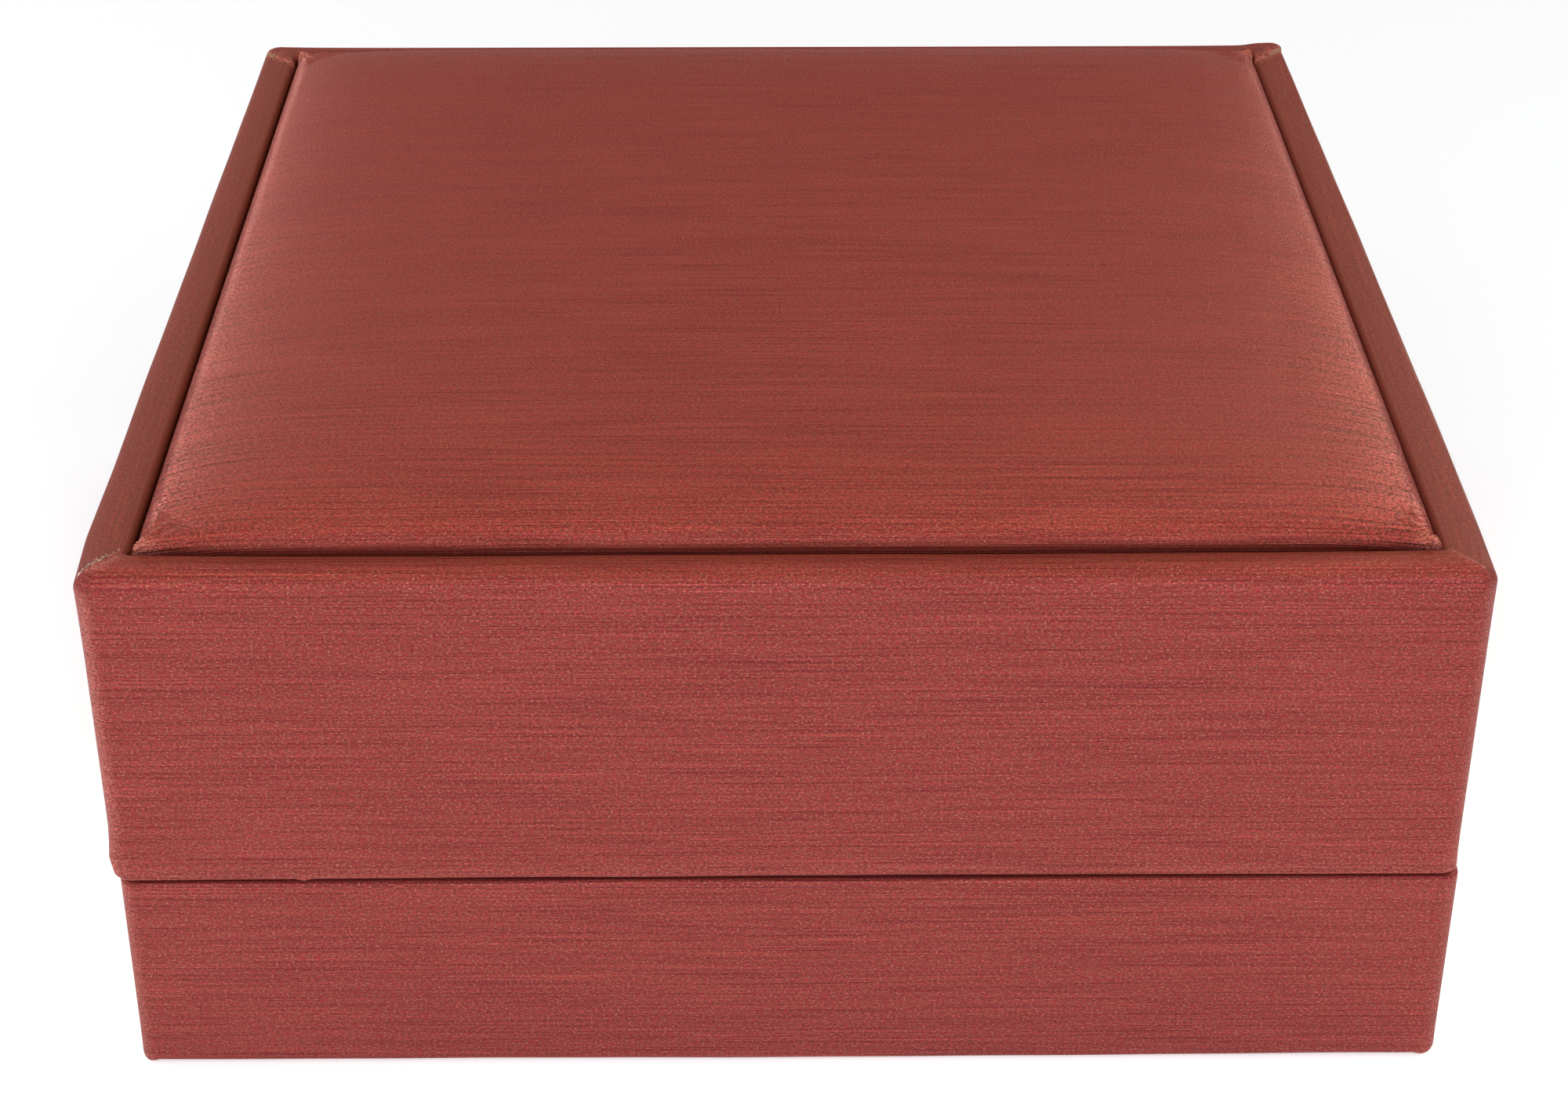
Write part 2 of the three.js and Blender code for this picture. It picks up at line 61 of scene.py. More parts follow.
# Base shell: the moulded tray that carries everything in the base. Black polystyrene from one mould, left
# as it came out, because paper and linings cover nearly all of it.
class Wire:
    """A shader socket that does sums: each operator adds a Math node to its material."""

    def __init__(self, tree, socket=None):
        self.tree = tree
        self.socket = socket

    def add(self, kind, settings=None, sockets=None, out=0):
        """Any node: its type, its settings, the values or wires of its sockets, and the output wanted."""
        node = self.tree.nodes.new(kind)
        for name, value in (settings or {}).items():
            setattr(node, name, value)
        for key, value in (sockets or {}).items():
            if isinstance(value, Wire):
                self.tree.links.new(value.socket, node.inputs[key])
            else:
                node.inputs[key].default_value = value
        return Wire(self.tree, node.outputs[out] if node.outputs else None)

    def sum(self, operation, left, right):
        return self.add("ShaderNodeMath", {"operation": operation}, {0: left, 1: right})

    def __add__(self, other):
        return self.sum("ADD", self, other)

    def __radd__(self, other):
        return self.sum("ADD", other, self)

    def __sub__(self, other):
        return self.sum("SUBTRACT", self, other)

    def __rsub__(self, other):
        return self.sum("SUBTRACT", other, self)

    def __mul__(self, other):
        return self.sum("MULTIPLY", self, other)

    def __rmul__(self, other):
        return self.sum("MULTIPLY", other, self)

    def rise(self, start, end):
        """0 up to start, 1 from end on, smooth between."""
        settings = {"interpolation_type": "SMOOTHSTEP"}
        return self.add("ShaderNodeMapRange", settings, {0: self, 1: start, 2: end})

    def blend(self, first, second):
        """A colour between two, by this wire."""
        settings = {"data_type": "RGBA"}
        return self.add("ShaderNodeMix", settings, {0: self, 6: first, 7: second}, out=2)

    def stretch(self, x, y, z=1):
        """Coordinates times three factors."""
        return self.add("ShaderNodeVectorMath", {"operation": "MULTIPLY"}, {0: self, 1: (x, y, z)})

    def slant(self, x, y, shift):
        """Coordinates times two factors, each row moved along by a shift, so that streaks end unevenly."""
        along, across = self.part(0), self.part(1)
        return self.add("ShaderNodeCombineXYZ", None, {0: along * x + across * shift, 1: across * y})

    def noise(self, scale=1, detail=2, roughness=0.5):
        sockets = {"Vector": self, "Scale": scale, "Detail": detail, "Roughness": roughness}
        return self.add("ShaderNodeTexNoise", None, sockets)

    def bump(self, distance, strength=1.0):
        sockets = {"Height": self, "Distance": distance, "Strength": strength}
        return self.add("ShaderNodeBump", None, sockets)

    def sine(self):
        return self.add("ShaderNodeMath", {"operation": "SINE"}, {0: self})

    def size(self):
        """The value without its sign."""
        return self.add("ShaderNodeMath", {"operation": "ABSOLUTE"}, {0: self})

    def times(self, factor):
        """A colour or a vector times one value."""
        return self.add("ShaderNodeVectorMath", {"operation": "SCALE"}, {0: self, "Scale": factor})

    def part(self, axis):
        """One of a vector's three parts."""
        return self.add("ShaderNodeSeparateXYZ", None, {0: self}, out=axis)

    def mark(self, name):
        """A value that the mesh carries at its points."""
        return self.add("ShaderNodeAttribute", {"attribute_name": name}, out="Fac")


def new_finish(name):
    """An empty material, a wire to build it with, and the Object coordinates that patterns lie on."""
    material = bpy.data.materials.new(name)
    material.use_nodes = True
    material.node_tree.nodes.clear()
    wire = Wire(material.node_tree)
    return material, wire, wire.add("ShaderNodeTexCoord", out="Object")


def coat(wire, sockets):
    """Ends a material in one Principled shader."""
    shader = wire.add("ShaderNodeBsdfPrincipled", None, sockets)
    wire.add("ShaderNodeOutputMaterial", None, {"Surface": shader})


def dress(node, material):
    """Gives a CAD node another material."""
    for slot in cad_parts[node].material_slots:
        slot.material = material


moulding, wire, place = new_finish("moulded_polystyrene")
flow = place.stretch(60, 60, 240).noise(detail=3)
pits = place.noise(2600, detail=2)
coat(wire, {
    "Base Color": flow.rise(0.3, 0.7).blend((0.017, 0.015, 0.015, 1), (0.026, 0.023, 0.023, 1)),
    "Roughness": 0.46 + 0.2 * pits,
    "Normal": (pits + 0.6 * flow).bump(0.02 * mm, 0.5),
})
dress("base_shell", moulding)


# Base covering: one strip of brushed, pearl-printed leatherette paper glued round the tray. Its edges are
# folded over the top edge and under the floor, so every edge is rolled rather than sharp.
box_half = cad_box[1].x
corner_radius = 1.5 * mm
inner_radius = 0.5 * mm
paper_thickness = 0.34 * mm
wall = 3 * mm
tight_fold = 0.4 * mm
turn_in = 4 * mm
under_margin = 8 * mm
outside_depth = 1.5 * mm


def folded_line(corners, radii, steps=8, spacing=1.3 * mm):
    """A line through right-angled corners, each rounded to its own radius, with the flats divided too."""
    corners = [np.array(corner, float) for corner in corners]
    line = [corners[0]]

    def run_to(point):
        count = max(1, round(np.linalg.norm(point - line[-1]) / spacing))
        start = line[-1]
        line.extend(start + (point - start) * step / count for step in range(1, count + 1))

    for before, corner, after, radius in zip(corners, corners[1:], corners[2:], radii):
        to_before = radius * (before - corner) / np.linalg.norm(before - corner)
        to_after = radius * (after - corner) / np.linalg.norm(after - corner)
        run_to(corner + to_before)
        for step in range(1, steps + 1):
            angle = math.pi / 2 * step / steps
            line.append(corner + to_before * (1 - math.sin(angle)) + to_after * (1 - math.cos(angle)))
    run_to(corners[-1])
    return np.array(line)


def line_normals(line):
    """Unit normals on the left of a line, which is the paper's shown side."""
    along = np.gradient(line, axis=0)
    normals = np.stack([-along[:, 1], along[:, 0]], axis=1)
    return normals / np.linalg.norm(normals, axis=1, keepdims=True)


def box_columns(crowded_at=()):
    """Places round the box from the middle of the rear, turning left as seen from above, crowded at the
    corners and at the given places along the front. Each is an anchor on the corner centres' square, a
    direction outwards, and the way run along the outer face."""
    half = box_half - corner_radius
    spaced = [np.arange(0, 3, 0.15), [3.05, 3.4, 3.9, 4.6, 5.6, 7, 9], np.arange(11, 48, 2)]
    near = np.concatenate(spaced) * mm / half
    plain = np.concatenate([near - 1, [0], 1 - near[:0:-1]])
    anchors, outwards = [], []
    sides = [(90, (-1, 1)), (180, (-1, -1)), (270, (1, -1)), (360, (1, 1))]
    for heading, corner in sides:
        angle = math.radians(heading)
        normal = np.array([round(math.cos(angle)), round(math.sin(angle))])
        along = np.array([-normal[1], normal[0]])
        steps = plain[plain >= 0] if heading == 90 else plain
        for place in crowded_at if heading == 270 else ():
            steps = np.union1d(steps, (place + np.arange(-1.2, 1.3, 0.2) * mm) / half)
        for step in steps:
            anchors.append(normal + along * step)
            outwards.append(normal)
        for turn in np.radians(np.linspace(0, 90, 13)[:-1] + heading):
            anchors.append(np.array(corner))
            outwards.append(np.array([math.cos(turn), math.sin(turn)]))
    for step in plain[plain < 0]:
        anchors.append(np.array([-step, 1]))
        outwards.append(np.array([0, 1]))
    anchors, outwards = np.array(anchors, float), np.array(outwards, float)
    outer = anchors * half + outwards * corner_radius
    hops = np.linalg.norm(np.roll(outer, -1, axis=0) - outer, axis=1)
    run = np.concatenate([[0], np.cumsum(hops)])
    return anchors, outwards, run


def loop_points(anchors, outwards, inset):
    """The box's outline moved in by an inset, which may differ from place to place."""
    radius = np.maximum(corner_radius - inset, inner_radius)
    centre = box_half - inset - radius
    return anchors * centre[..., None] + outwards * radius[..., None]


def sweep_paper(name, line, columns, puff, lift, spread, marks, material, thickness=paper_thickness):
    """Sweeps a folded line round the box as a closed skin of paper. Puff moves it along its own normal,
    lift moves it up, spread moves it outwards, and marks are the values that its finish reads."""
    anchors, outwards, run = columns
    normals = line_normals(line)
    depths = [puff, puff - np.broadcast_to(thickness, len(line))[:, None]]
    skins = []
    for depth in depths:
        inset = line[:, 0][:, None] + normals[:, 0][:, None] * depth - spread
        height = line[:, 1][:, None] + normals[:, 1][:, None] * depth + lift
        plan = loop_points(anchors[None], outwards[None], inset)
        skins.append(np.concatenate([plan, height[..., None]], axis=2))
    points = np.concatenate([skins[0], skins[1][::-1]], axis=0)
    rows, count = points.shape[:2]
    way = np.concatenate([[0], np.cumsum(np.linalg.norm(np.diff(line, axis=0), axis=1))])
    way = np.concatenate([way, way[::-1]])
    row, column = np.meshgrid(np.arange(rows), np.arange(count), indexing="ij")
    next_row, next_column = (row + 1) % rows, (column + 1) % count
    quads = np.stack([
        row * count + column, row * count + next_column,
        next_row * count + next_column, next_row * count + column,
    ], axis=-1).reshape(-1, 4)
    along = np.stack([run[column], run[column + 1], run[column + 1], run[column]], axis=-1)
    across = np.stack([way[row], way[row], way[next_row], way[next_row]], axis=-1)
    mesh = bpy.data.meshes.new(name)
    mesh.from_pydata(points.reshape(-1, 3).tolist(), [], quads.tolist())
    grain = mesh.uv_layers.new(name="grain")
    grain.data.foreach_set("uv", np.stack([along, across], axis=-1).astype(np.float32).ravel())
    mark_points(mesh, {mark: np.concatenate([values, values[::-1]]) for mark, values in marks.items()})
    return finished_piece(name, mesh, material)


def mark_points(mesh, marks):
    """Gives a mesh named values at its points, for its finish to read."""
    for mark, values in marks.items():
        layer = mesh.attributes.new(mark, "FLOAT", "POINT")
        layer.data.foreach_set("value", values.astype(np.float32).ravel())


def placed(name, data):
    """A new object in the scene."""
    piece = bpy.data.objects.new(name, data)
    bpy.context.scene.collection.objects.link(piece)
    return piece


def finished_piece(name, mesh, material, sharp=50):
    """A smooth-shaded object from a closed mesh, with its faces turned outwards."""
    work = bmesh.new()
    work.from_mesh(mesh)
    bmesh.ops.recalc_face_normals(work, faces=work.faces)
    work.to_mesh(mesh)
    work.free()
    mesh.shade_smooth()
    mesh.set_sharp_from_angle(angle=math.radians(sharp))
    mesh.materials.clear()
    mesh.materials.append(material)
    return placed(name, mesh)


def baked(piece):
    """Replaces a piece's modifiers by their result."""
    shown = piece.evaluated_get(bpy.context.evaluated_depsgraph_get())
    mesh = bpy.data.meshes.new_from_object(shown)
    piece.modifiers.clear()
    old = piece.data
    piece.data = mesh
    mesh.name = old.name
    bpy.data.meshes.remove(old)
    return piece


def block(low, high):
    """The mesh of a block between two opposite corners."""
    low, high = Vector(low), Vector(high)
    mesh = bpy.data.meshes.new("block")
    work = bmesh.new()
    place = Matrix.Translation((low + high) / 2) @ Matrix.Diagonal((*(high - low), 1))
    bmesh.ops.create_cube(work, size=1, matrix=place)
    work.to_mesh(mesh)
    work.free()
    return mesh


def cut_out(piece, meshes):
    """Cuts closed meshes, one by one, out of a piece."""
    cutters = []
    for mesh in meshes:
        cutter = placed("cutter", mesh)
        boolean = piece.modifiers.new("cut", "BOOLEAN")
        boolean.object = cutter
        boolean.solver = "EXACT"
        cutters.append(cutter)
    baked(piece)
    for cutter in cutters:
        bpy.data.meshes.remove(cutter.data)


def ripple(run, waves):
    """A slow uneven wave along the run: pairs of wavelength and height, each with its own phase."""
    return sum(
        height * np.sin(math.tau * run / length + 1.7 * i) for i, (length, height) in enumerate(waves)
    )


def hump(distance, width):
    """1 at no distance, falling away smoothly over a width."""
    return np.exp(-(distance / width) ** 2)


def ramp(value, start, end):
    """0 up to start, 1 from end on, straight between."""
    return np.clip((value - start) / (end - start), 0, 1)


def facings(outwards):
    """How far each place faces left, right, forwards and to the rear, and how far it is round a corner."""
    x, y = outwards.T
    return np.clip(-x, 0, 1), np.clip(x, 0, 1), np.clip(-y, 0, 1), np.clip(y, 0, 1), 2 * np.abs(x * y)


def leatherette_finish(name):
    """Brushed pearl paper: crimson and brown dashes along the strip, close flecks of pearl, broken ridges,
    coarser pearl and creases where it is stretched open, and pale core where it is torn or worn. Light
    and shade are painted in too: brown shade in the grooves and creases, darker side flaps on the lid's
    rim, a brighter colour with coarse glints on the panel's slopes, and pale highlights on the lid's lower
    fold, the front corners and the panel's tips."""
    material, wire, place = new_finish(name)
    grain = wire.add("ShaderNodeUVMap", {"uv_map": "grain"})
    rib, turned, worn, opened = (wire.mark(mark) for mark in ("rib", "turned", "worn", "opened"))
    crimson, chestnut = (0.228, 0.0235, 0.0265, 1), (0.198, 0.039, 0.0285, 1)
    wine, maroon, shade_umber = (0.115, 0.004, 0.009, 1), (0.095, 0.005, 0.007, 1), (0.12, 0.020, 0.004, 1)
    rose, pale_rose, dull_shade = (0.52, 0.22, 0.185, 1), (0.60, 0.22, 0.18, 1), (0.085, 0.030, 0.024, 1)
    soot, pulp, tan = (0.03, 0.015, 0.012, 1), (0.62, 0.55, 0.51, 1), (0.23, 0.125, 0.085, 1)
    wander = grain.stretch(45, 420).noise(detail=2)
    ridge = 0.5 + 0.5 * (grain.part(1) * (math.tau / rib_pitch) + 14 * wander).sine()
    streak = grain.slant(130, 2600, 900).noise(detail=2, roughness=0.6)
    scratch = grain.slant(60, 7800, 2900).noise(detail=1)
    dash = grain.stretch(1700, 5200).noise(detail=2, roughness=0.7)
    band = grain.slant(24, 900, 340).noise(detail=3, roughness=0.6)
    fleck = grain.stretch(4200, 6600).noise(detail=2, roughness=0.75)
    glint = grain.stretch(4800, 7000).noise(detail=1, roughness=0.5)
    plain = 1 - 0.7 * turned
    shine = glint.rise(0.56, 0.70) * plain
    lines = (0.6 * streak.rise(0.46, 0.70) + 0.9 * rib) * (1 - ridge)
    printed = dash.rise(0.38, 0.62).blend(crimson, chestnut)
    score = scratch.rise(0.50, 0.66) * plain
    scored = (score * 0.65).blend(printed, wine)
    pearl = opened * (grain.stretch(4300, 3000).noise(detail=1).rise(0.38, 0.62) - 0.44)
    crease_and_shade = opened * grain.slant(40, 2500, 250).noise(detail=1).rise(0.50, 0.62)
    speckle = 0.63 + 0.70 * fleck.rise(0.34, 0.66) + 0.12 * band + 0.5 * (1 - scratch).rise(0.62, 0.74)
    # Painted light: on the panel's slopes, most at the front right, the colour is brightened as a highlight
    # and given coarse pearl flecks as glints, and its creases are painted darker as shade.
    toned = scored.times(speckle * (1 + 0.2 * opened + 0.8 * pearl - 0.48 * crease_and_shade))
    lit = (shine * 0.38).blend(toned, rose)
    # Painted shade: the side flaps on the lid's rim are darkened towards a flat dark brown, in place of the
    # weaker reflection along their grain.
    dulled_and_shaded = (0.42 * turned).blend(lit, dull_shade)
    # Painted shade: the groove along the lid rim's inner edge, the panel's edges where they turn under and
    # the creases of its slopes are browned darker, besides their real ribs and lines.
    browned_and_shaded = (0.7 * rib).blend(dulled_and_shaded, shade_umber)
    lined_and_shaded = (lines * 0.6 * plain).blend(browned_and_shaded, maroon)
    # Made paler where the worn mark is high: at the rear seams as real pale core, on the front vertical
    # corners and the panel's corner tips as rubbed paper and as painted highlight, and along the lid's
    # lower fold as a painted highlight.
    rubbed_and_highlit = (worn * fleck.rise(0.40, 0.60) * 0.4).blend(lined_and_shaded, pale_rose)
    jag = place.noise(2300, detail=2, roughness=0.7)
    patch = place.noise(1100, detail=1)
    edge = (wire.mark("seam") + 0.5 * mm * (jag - 0.5)).size()
    loose = (wire.mark("frayed") * (0.4 + 1.2 * patch)).rise(0.42, 0.50)
    torn = (1 - edge.rise(0.13 * mm, 0.25 * mm)) * loose
    mottle = place.noise(3300, detail=1).rise(0.45, 0.55).blend(soot, pulp)
    core = worn.blend(mottle, tan)
    relief = plain * (0.7 * fleck + 0.6 * glint - 0.6 * lines - 0.9 * crease_and_shade)
    coat(wire, {
        "Base Color": torn.blend(rubbed_and_highlit, core),
        "Metallic": (0.42 + 0.3 * shine) * (1 - torn) * (1 - 0.4 * turned),
        "Roughness": 0.44 + 0.2 * (1 - fleck) - 0.22 * shine - 0.14 * pearl + 0.3 * torn + 0.2 * turned,
        "Normal": (relief - 0.4 * score + 0.8 * torn * jag).bump(0.05 * mm, 0.8),
        "Specular IOR Level": 0.4,
        "Specular Tint": (0.9, 0.72, 0.68, 1),
    })
    return material


rib_pitch = 0.17 * mm
leatherette = leatherette_finish("brushed_leatherette")

base_low, base_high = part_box("base_wrap")
base_line = folded_line([
    (under_margin, base_low.z), (0, base_low.z), (0, base_high.z), (wall, base_high.z),
    (wall, base_high.z - turn_in),
], [0.6 * mm, tight_fold, tight_fold])
base_columns = box_columns()
anchors, outwards, run = base_columns
left, right, front, rear, corner = facings(outwards)
inset, height = base_line[:, 0][:, None], base_line[:, 1][:, None]
foot_droop = 0.18 * mm
foot_sag = 0.14 * mm
at_foot = hump(height - base_low.z, 1.6 * mm)
outside = 1 - ramp(inset, 0, outside_depth)
slow = ripple(run[:-1], [(31 * mm, 0.03 * mm), (13 * mm, 0.016 * mm), (67 * mm, 0.03 * mm)])
base_puff = 0.5 * slow * (1 - rear) + 0.05 * mm * corner * at_foot
sag = foot_sag * hump(anchors[:, 0] * box_half - 10 * mm, 22 * mm) * (outwards[:, 1] < -0.99)
base_lift = -at_foot * (foot_droop * corner * (1 + left) + sag)
higher = (height - base_low.z) / (base_high.z - base_low.z)
base_spread = (0.18 * right - (0.07 + 0.08 * higher) * left) * mm * outside
# Paler front vertical corners, more on the left: rubbed paper and a painted highlight.
base_marks = {"worn": corner * front * (1.1 * left + 0.4 * right) * outside}
base_cover = sweep_paper(
    "base_covering", base_line, base_columns, base_puff, base_lift, base_spread, base_marks, leatherette,
)

hinge_axis = Vector((0, 50 * mm, 17.8 * mm))
hinge_places = {"left": -28 * mm, "right": 28 * mm}
notch_half = 9.3 * mm
notch_reach = 1.55 * mm
inner_y = 46.7 * mm
leaf_y = 47.5 * mm
slit_bottom = 17.6 * mm
slit_top = 18 * mm


def hinge_notches(barrel, leaf):
    """Cutters for both hinges: the full wall at the barrel and the turned-in paper at the leaf."""
    blocks = []
    for x in hinge_places.values():
        left, right = x - notch_half, x + notch_half
        blocks.append(block((left, inner_y, barrel[0]), (right, hinge_axis.y + notch_reach, barrel[1])))
        blocks.append(block((left, inner_y, leaf[0]), (right, leaf_y, leaf[1])))
    return blocks


cut_out(base_cover, hinge_notches(
    (hinge_axis.z - notch_reach, slit_top), (base_high.z - 2 * turn_in, slit_top),
))
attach(base_cover, "base")
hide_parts("base_wrap")


# Underside sheet: the dark uncoated paper that the box stands on. It is cut square and glued over the
# turned-in edges of the covering.
under_paper, wire, place = new_finish("matt_dark_paper")
fibre = place.stretch(2600, 1300, 2600).noise(detail=4, roughness=0.7)
felt = place.noise(260, detail=4, roughness=0.65)
coat(wire, {
    "Base Color": (0.6 * fibre + 0.4 * felt).rise(0.3, 0.72).blend(
        (0.017, 0.011, 0.011, 1), (0.044, 0.029, 0.029, 1)),
    "Roughness": 0.78 + 0.14 * fibre,
    "Normal": fibre.bump(0.03 * mm, 0.5),
})
dress("underside_sheet", under_paper)


# Floor lining: a thin square of ivory flock on paper. It is cut a touch smaller than the tray's floor and
# lies loose on it, under the necklace pad.
def velvet_finish(name, dark, light):
    """Short upright pile: a soft mottle where it leans, fine fibre tips, and a bright edge-on sheen."""
    material, wire, place = new_finish(name)
    lean = place.stretch(85, 210, 150).noise(detail=3, roughness=0.6)
    tips = place.noise(5200, detail=2, roughness=0.7)
    tone = 0.5 * lean.rise(0.2, 0.8) + 0.5 * tips
    coat(wire, {
        "Base Color": tone.blend(dark, light),
        "Roughness": 0.82 + 0.14 * tips,
        "Normal": (tips + 0.8 * lean).bump(0.09 * mm, 0.7),
        "Sheen Weight": 0.55,
        "Sheen Roughness": 0.38,
        "Sheen Tint": (1, 0.95, 0.86, 1),
        "Specular IOR Level": 0.2,
    })
    return material


ivory_velvet = velvet_finish("ivory_velvet", (0.53, 0.43, 0.305, 1), (0.68, 0.57, 0.425, 1))
lining_low, lining_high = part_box("floor_lining")


def grid_faces(rows, columns):
    """A grid's quads, and the points round its rim."""
    index = np.arange(rows * columns).reshape(rows, columns)
    quads = np.stack([index[:-1, :-1], index[1:, :-1], index[1:, 1:], index[:-1, 1:]], axis=-1)
    rim = np.concatenate([index[:-1, 0], index[-1, :-1], index[:0:-1, -1], index[0, :0:-1]])
    return quads.reshape(-1, 4), rim


def grid_sheet(name, low, high, bottom, top, steps, waves, material):
    """A thin closed sheet over a rectangle, with slow waves in its top."""
    xs = np.linspace(low[0], high[0], steps + 1)
    ys = np.linspace(low[1], high[1], steps + 1)
    x, y = np.meshgrid(xs, ys, indexing="ij")
    wave = ripple(x + 0.6 * y, waves) + ripple(y - 0.4 * x + 0.01, waves)
    edge = np.minimum.reduce([x - low[0], high[0] - x, y - low[1], high[1] - y])
    inside = ramp(edge, 0, 2 * mm)
    upper = np.stack([x, y, top + wave * inside], axis=-1).reshape(-1, 3)
    lower = np.stack([x, y, np.full_like(x, bottom)], axis=-1).reshape(-1, 3)
    below = len(upper)
    quads, rim = grid_faces(*x.shape)
    following = np.roll(rim, -1)
    sides = np.stack([rim, rim + below, following + below, following], axis=-1)
    faces = np.concatenate([quads, quads[:, ::-1] + below, sides])
    mesh = bpy.data.meshes.new(name)
    mesh.from_pydata(np.concatenate([upper, lower]).tolist(), [], faces.tolist())
    return finished_piece(name, mesh, material)


floor_velvet = grid_sheet(
    "floor_velvet", lining_low, lining_high, lining_low.z, lining_high.z, 40,
    [(23 * mm, 0.02 * mm), (9 * mm, 0.012 * mm)], ivory_velvet,
)
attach(floor_velvet, "base")
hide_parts("floor_lining")


# Collar: four strips of card wrapped in the same velvet and glued inside the base. They stand proud of its
# edge, so that the lid finds its place when it closes.
def new_tree(name, sizes):
    """A Geometry Nodes tree with a geometry in and out and named sizes, and its input and output nodes."""
    tree = bpy.data.node_groups.new(name, "GeometryNodeTree")
    tree.interface.new_socket("Geometry", in_out="INPUT", socket_type="NodeSocketGeometry")
    tree.interface.new_socket("Geometry", in_out="OUTPUT", socket_type="NodeSocketGeometry")
    for size, kind in sizes.items():
        tree.interface.new_socket(size, in_out="INPUT", socket_type=kind)
    return tree, tree.nodes.new("NodeGroupInput"), tree.nodes.new("NodeGroupOutput")


def tree_node(tree, kind, settings=None, sockets=None):
    """One node of a tree: its type, settings, and what its sockets get: a value, a socket, or a node,
    which stands for its first output."""
    node = tree.nodes.new(kind)
    for name, value in (settings or {}).items():
        setattr(node, name, value)
    for key, value in (sockets or {}).items():
        if isinstance(value, bpy.types.Node):
            value = value.outputs[0]
        if isinstance(value, bpy.types.NodeSocket):
            tree.links.new(value, node.inputs[key])
        else:
            node.inputs[key].default_value = value
    return node


def finish_tree(tree, given, result, geometry):
    """Ends a tree: instances are made real, and the given material is set."""
    whole = tree_node(tree, "GeometryNodeRealizeInstances", None, {"Geometry": geometry})
    covered = tree_node(tree, "GeometryNodeSetMaterial", None, {
        "Geometry": whole, "Material": given.outputs["Material"],
    })
    tree.links.new(covered.outputs[0], result.inputs[0])


def grown(name, mesh, tree, sizes, extra=None):
    """A plain mesh object from a tree run on a mesh, with its sizes set by socket identifier."""
    piece = placed(name, mesh)
    modifier = piece.modifiers.new(tree.name, "NODES")
    modifier.node_group = tree
    for item in tree.interface.items_tree:
        if item.in_out == "INPUT" and item.name in sizes:
            modifier[item.identifier] = sizes[item.name]
    if extra:
        extra(piece)
    return baked(piece)


strip_tree, given, result = new_tree("wrapped_strip", {
    "Size": "NodeSocketVector", "Middle": "NodeSocketVector", "Fullness": "NodeSocketFloat",
    "Material": "NodeSocketMaterial",
})
bar = tree_node(strip_tree, "GeometryNodeMeshCube", None, {
    "Size": given.outputs["Size"], "Vertices X": 24, "Vertices Y": 24, "Vertices Z": 8,
})
spot = tree_node(strip_tree, "GeometryNodeInputPosition")
mottle = tree_node(strip_tree, "ShaderNodeTexNoise", None, {"Vector": spot, "Scale": 130, "Detail": 1})
swing = tree_node(strip_tree, "ShaderNodeMath", {"operation": "SUBTRACT"}, {0: mottle, 1: 0.5})
amount = tree_node(strip_tree, "ShaderNodeMath", {"operation": "MULTIPLY"}, {
    0: swing, 1: given.outputs["Fullness"],
})
facing = tree_node(strip_tree, "GeometryNodeInputNormal")
push = tree_node(strip_tree, "ShaderNodeVectorMath", {"operation": "SCALE"}, {0: facing, "Scale": amount})
soft = tree_node(strip_tree, "GeometryNodeSetPosition", None, {"Geometry": bar, "Offset": push})
moved = tree_node(strip_tree, "GeometryNodeTransform", None, {
    "Geometry": soft, "Translation": given.outputs["Middle"],
})
finish_tree(strip_tree, given, result, moved)
strip_roll = 0.42 * mm
strip_fullness = 0.12 * mm


def wrapped_strip(name, node, body, material):
    """A strip in the place of its CAD node, with its edges rolled by a bevel."""
    low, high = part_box(node)

    def roll_edges(piece):
        bevel = piece.modifiers.new("rolled edges", "BEVEL")
        bevel.width = strip_roll
        bevel.segments = 4
        bevel.limit_method = "ANGLE"

    strip = grown(name, bpy.data.meshes.new(name), strip_tree, {
        "Size": high - low, "Middle": (high + low) / 2, "Fullness": strip_fullness, "Material": material,
    }, roll_edges)
    strip.data.shade_smooth()
    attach(strip, body)
    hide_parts(node)


for side in ("front", "back", "left", "right"):
    wrapped_strip(f"collar_velvet_{side}", f"collar_{side}", "base", ivory_velvet)


# Necklace pad: a card tray turned over, with foam on it and velvet drawn over both and glued inside. Two
# slanted slits let the chain through to the space underneath.
card, wire, place = new_finish("grey_card")
pulp = place.noise(700, detail=4, roughness=0.7)
flake = place.stretch(300, 900, 600).noise(detail=2)
coat(wire, {
    "Base Color": (0.7 * pulp + 0.3 * flake).rise(0.3, 0.7).blend(
        (0.36, 0.28, 0.19, 1), (0.58, 0.47, 0.34, 1)),
    "Roughness": 0.85 + 0.1 * pulp,
    "Normal": pulp.bump(0.04 * mm, 0.6),
})
dress("pad_board", card)

foam, wire, place = new_finish("open_cell_foam")
cells = wire.add("ShaderNodeTexVoronoi", None, {"Vector": place, "Scale": 1500})
coat(wire, {
    "Base Color": cells.rise(0.1, 0.6).blend((0.58, 0.50, 0.36, 1), (0.86, 0.80, 0.66, 1)),
    "Roughness": 0.9 + 0.08 * cells,
    "Normal": cells.bump(0.2 * mm, 0.8),
})


def edge_steps(half, roll, edge_count, inner_count):
    """Places across a cushion from edge to edge, close together on the rolled edges."""
    turn = np.linspace(0, math.pi / 2, edge_count + 1)
    rolled = half - roll + roll * np.sin(turn)
    share = np.linspace(0, 1, inner_count + 1)[:-1]
    inner = (half - roll) * (1.36 * share - 0.36 * share ** 3)
    right = np.concatenate([inner, rolled])
    return np.concatenate([-right[:0:-1], right])


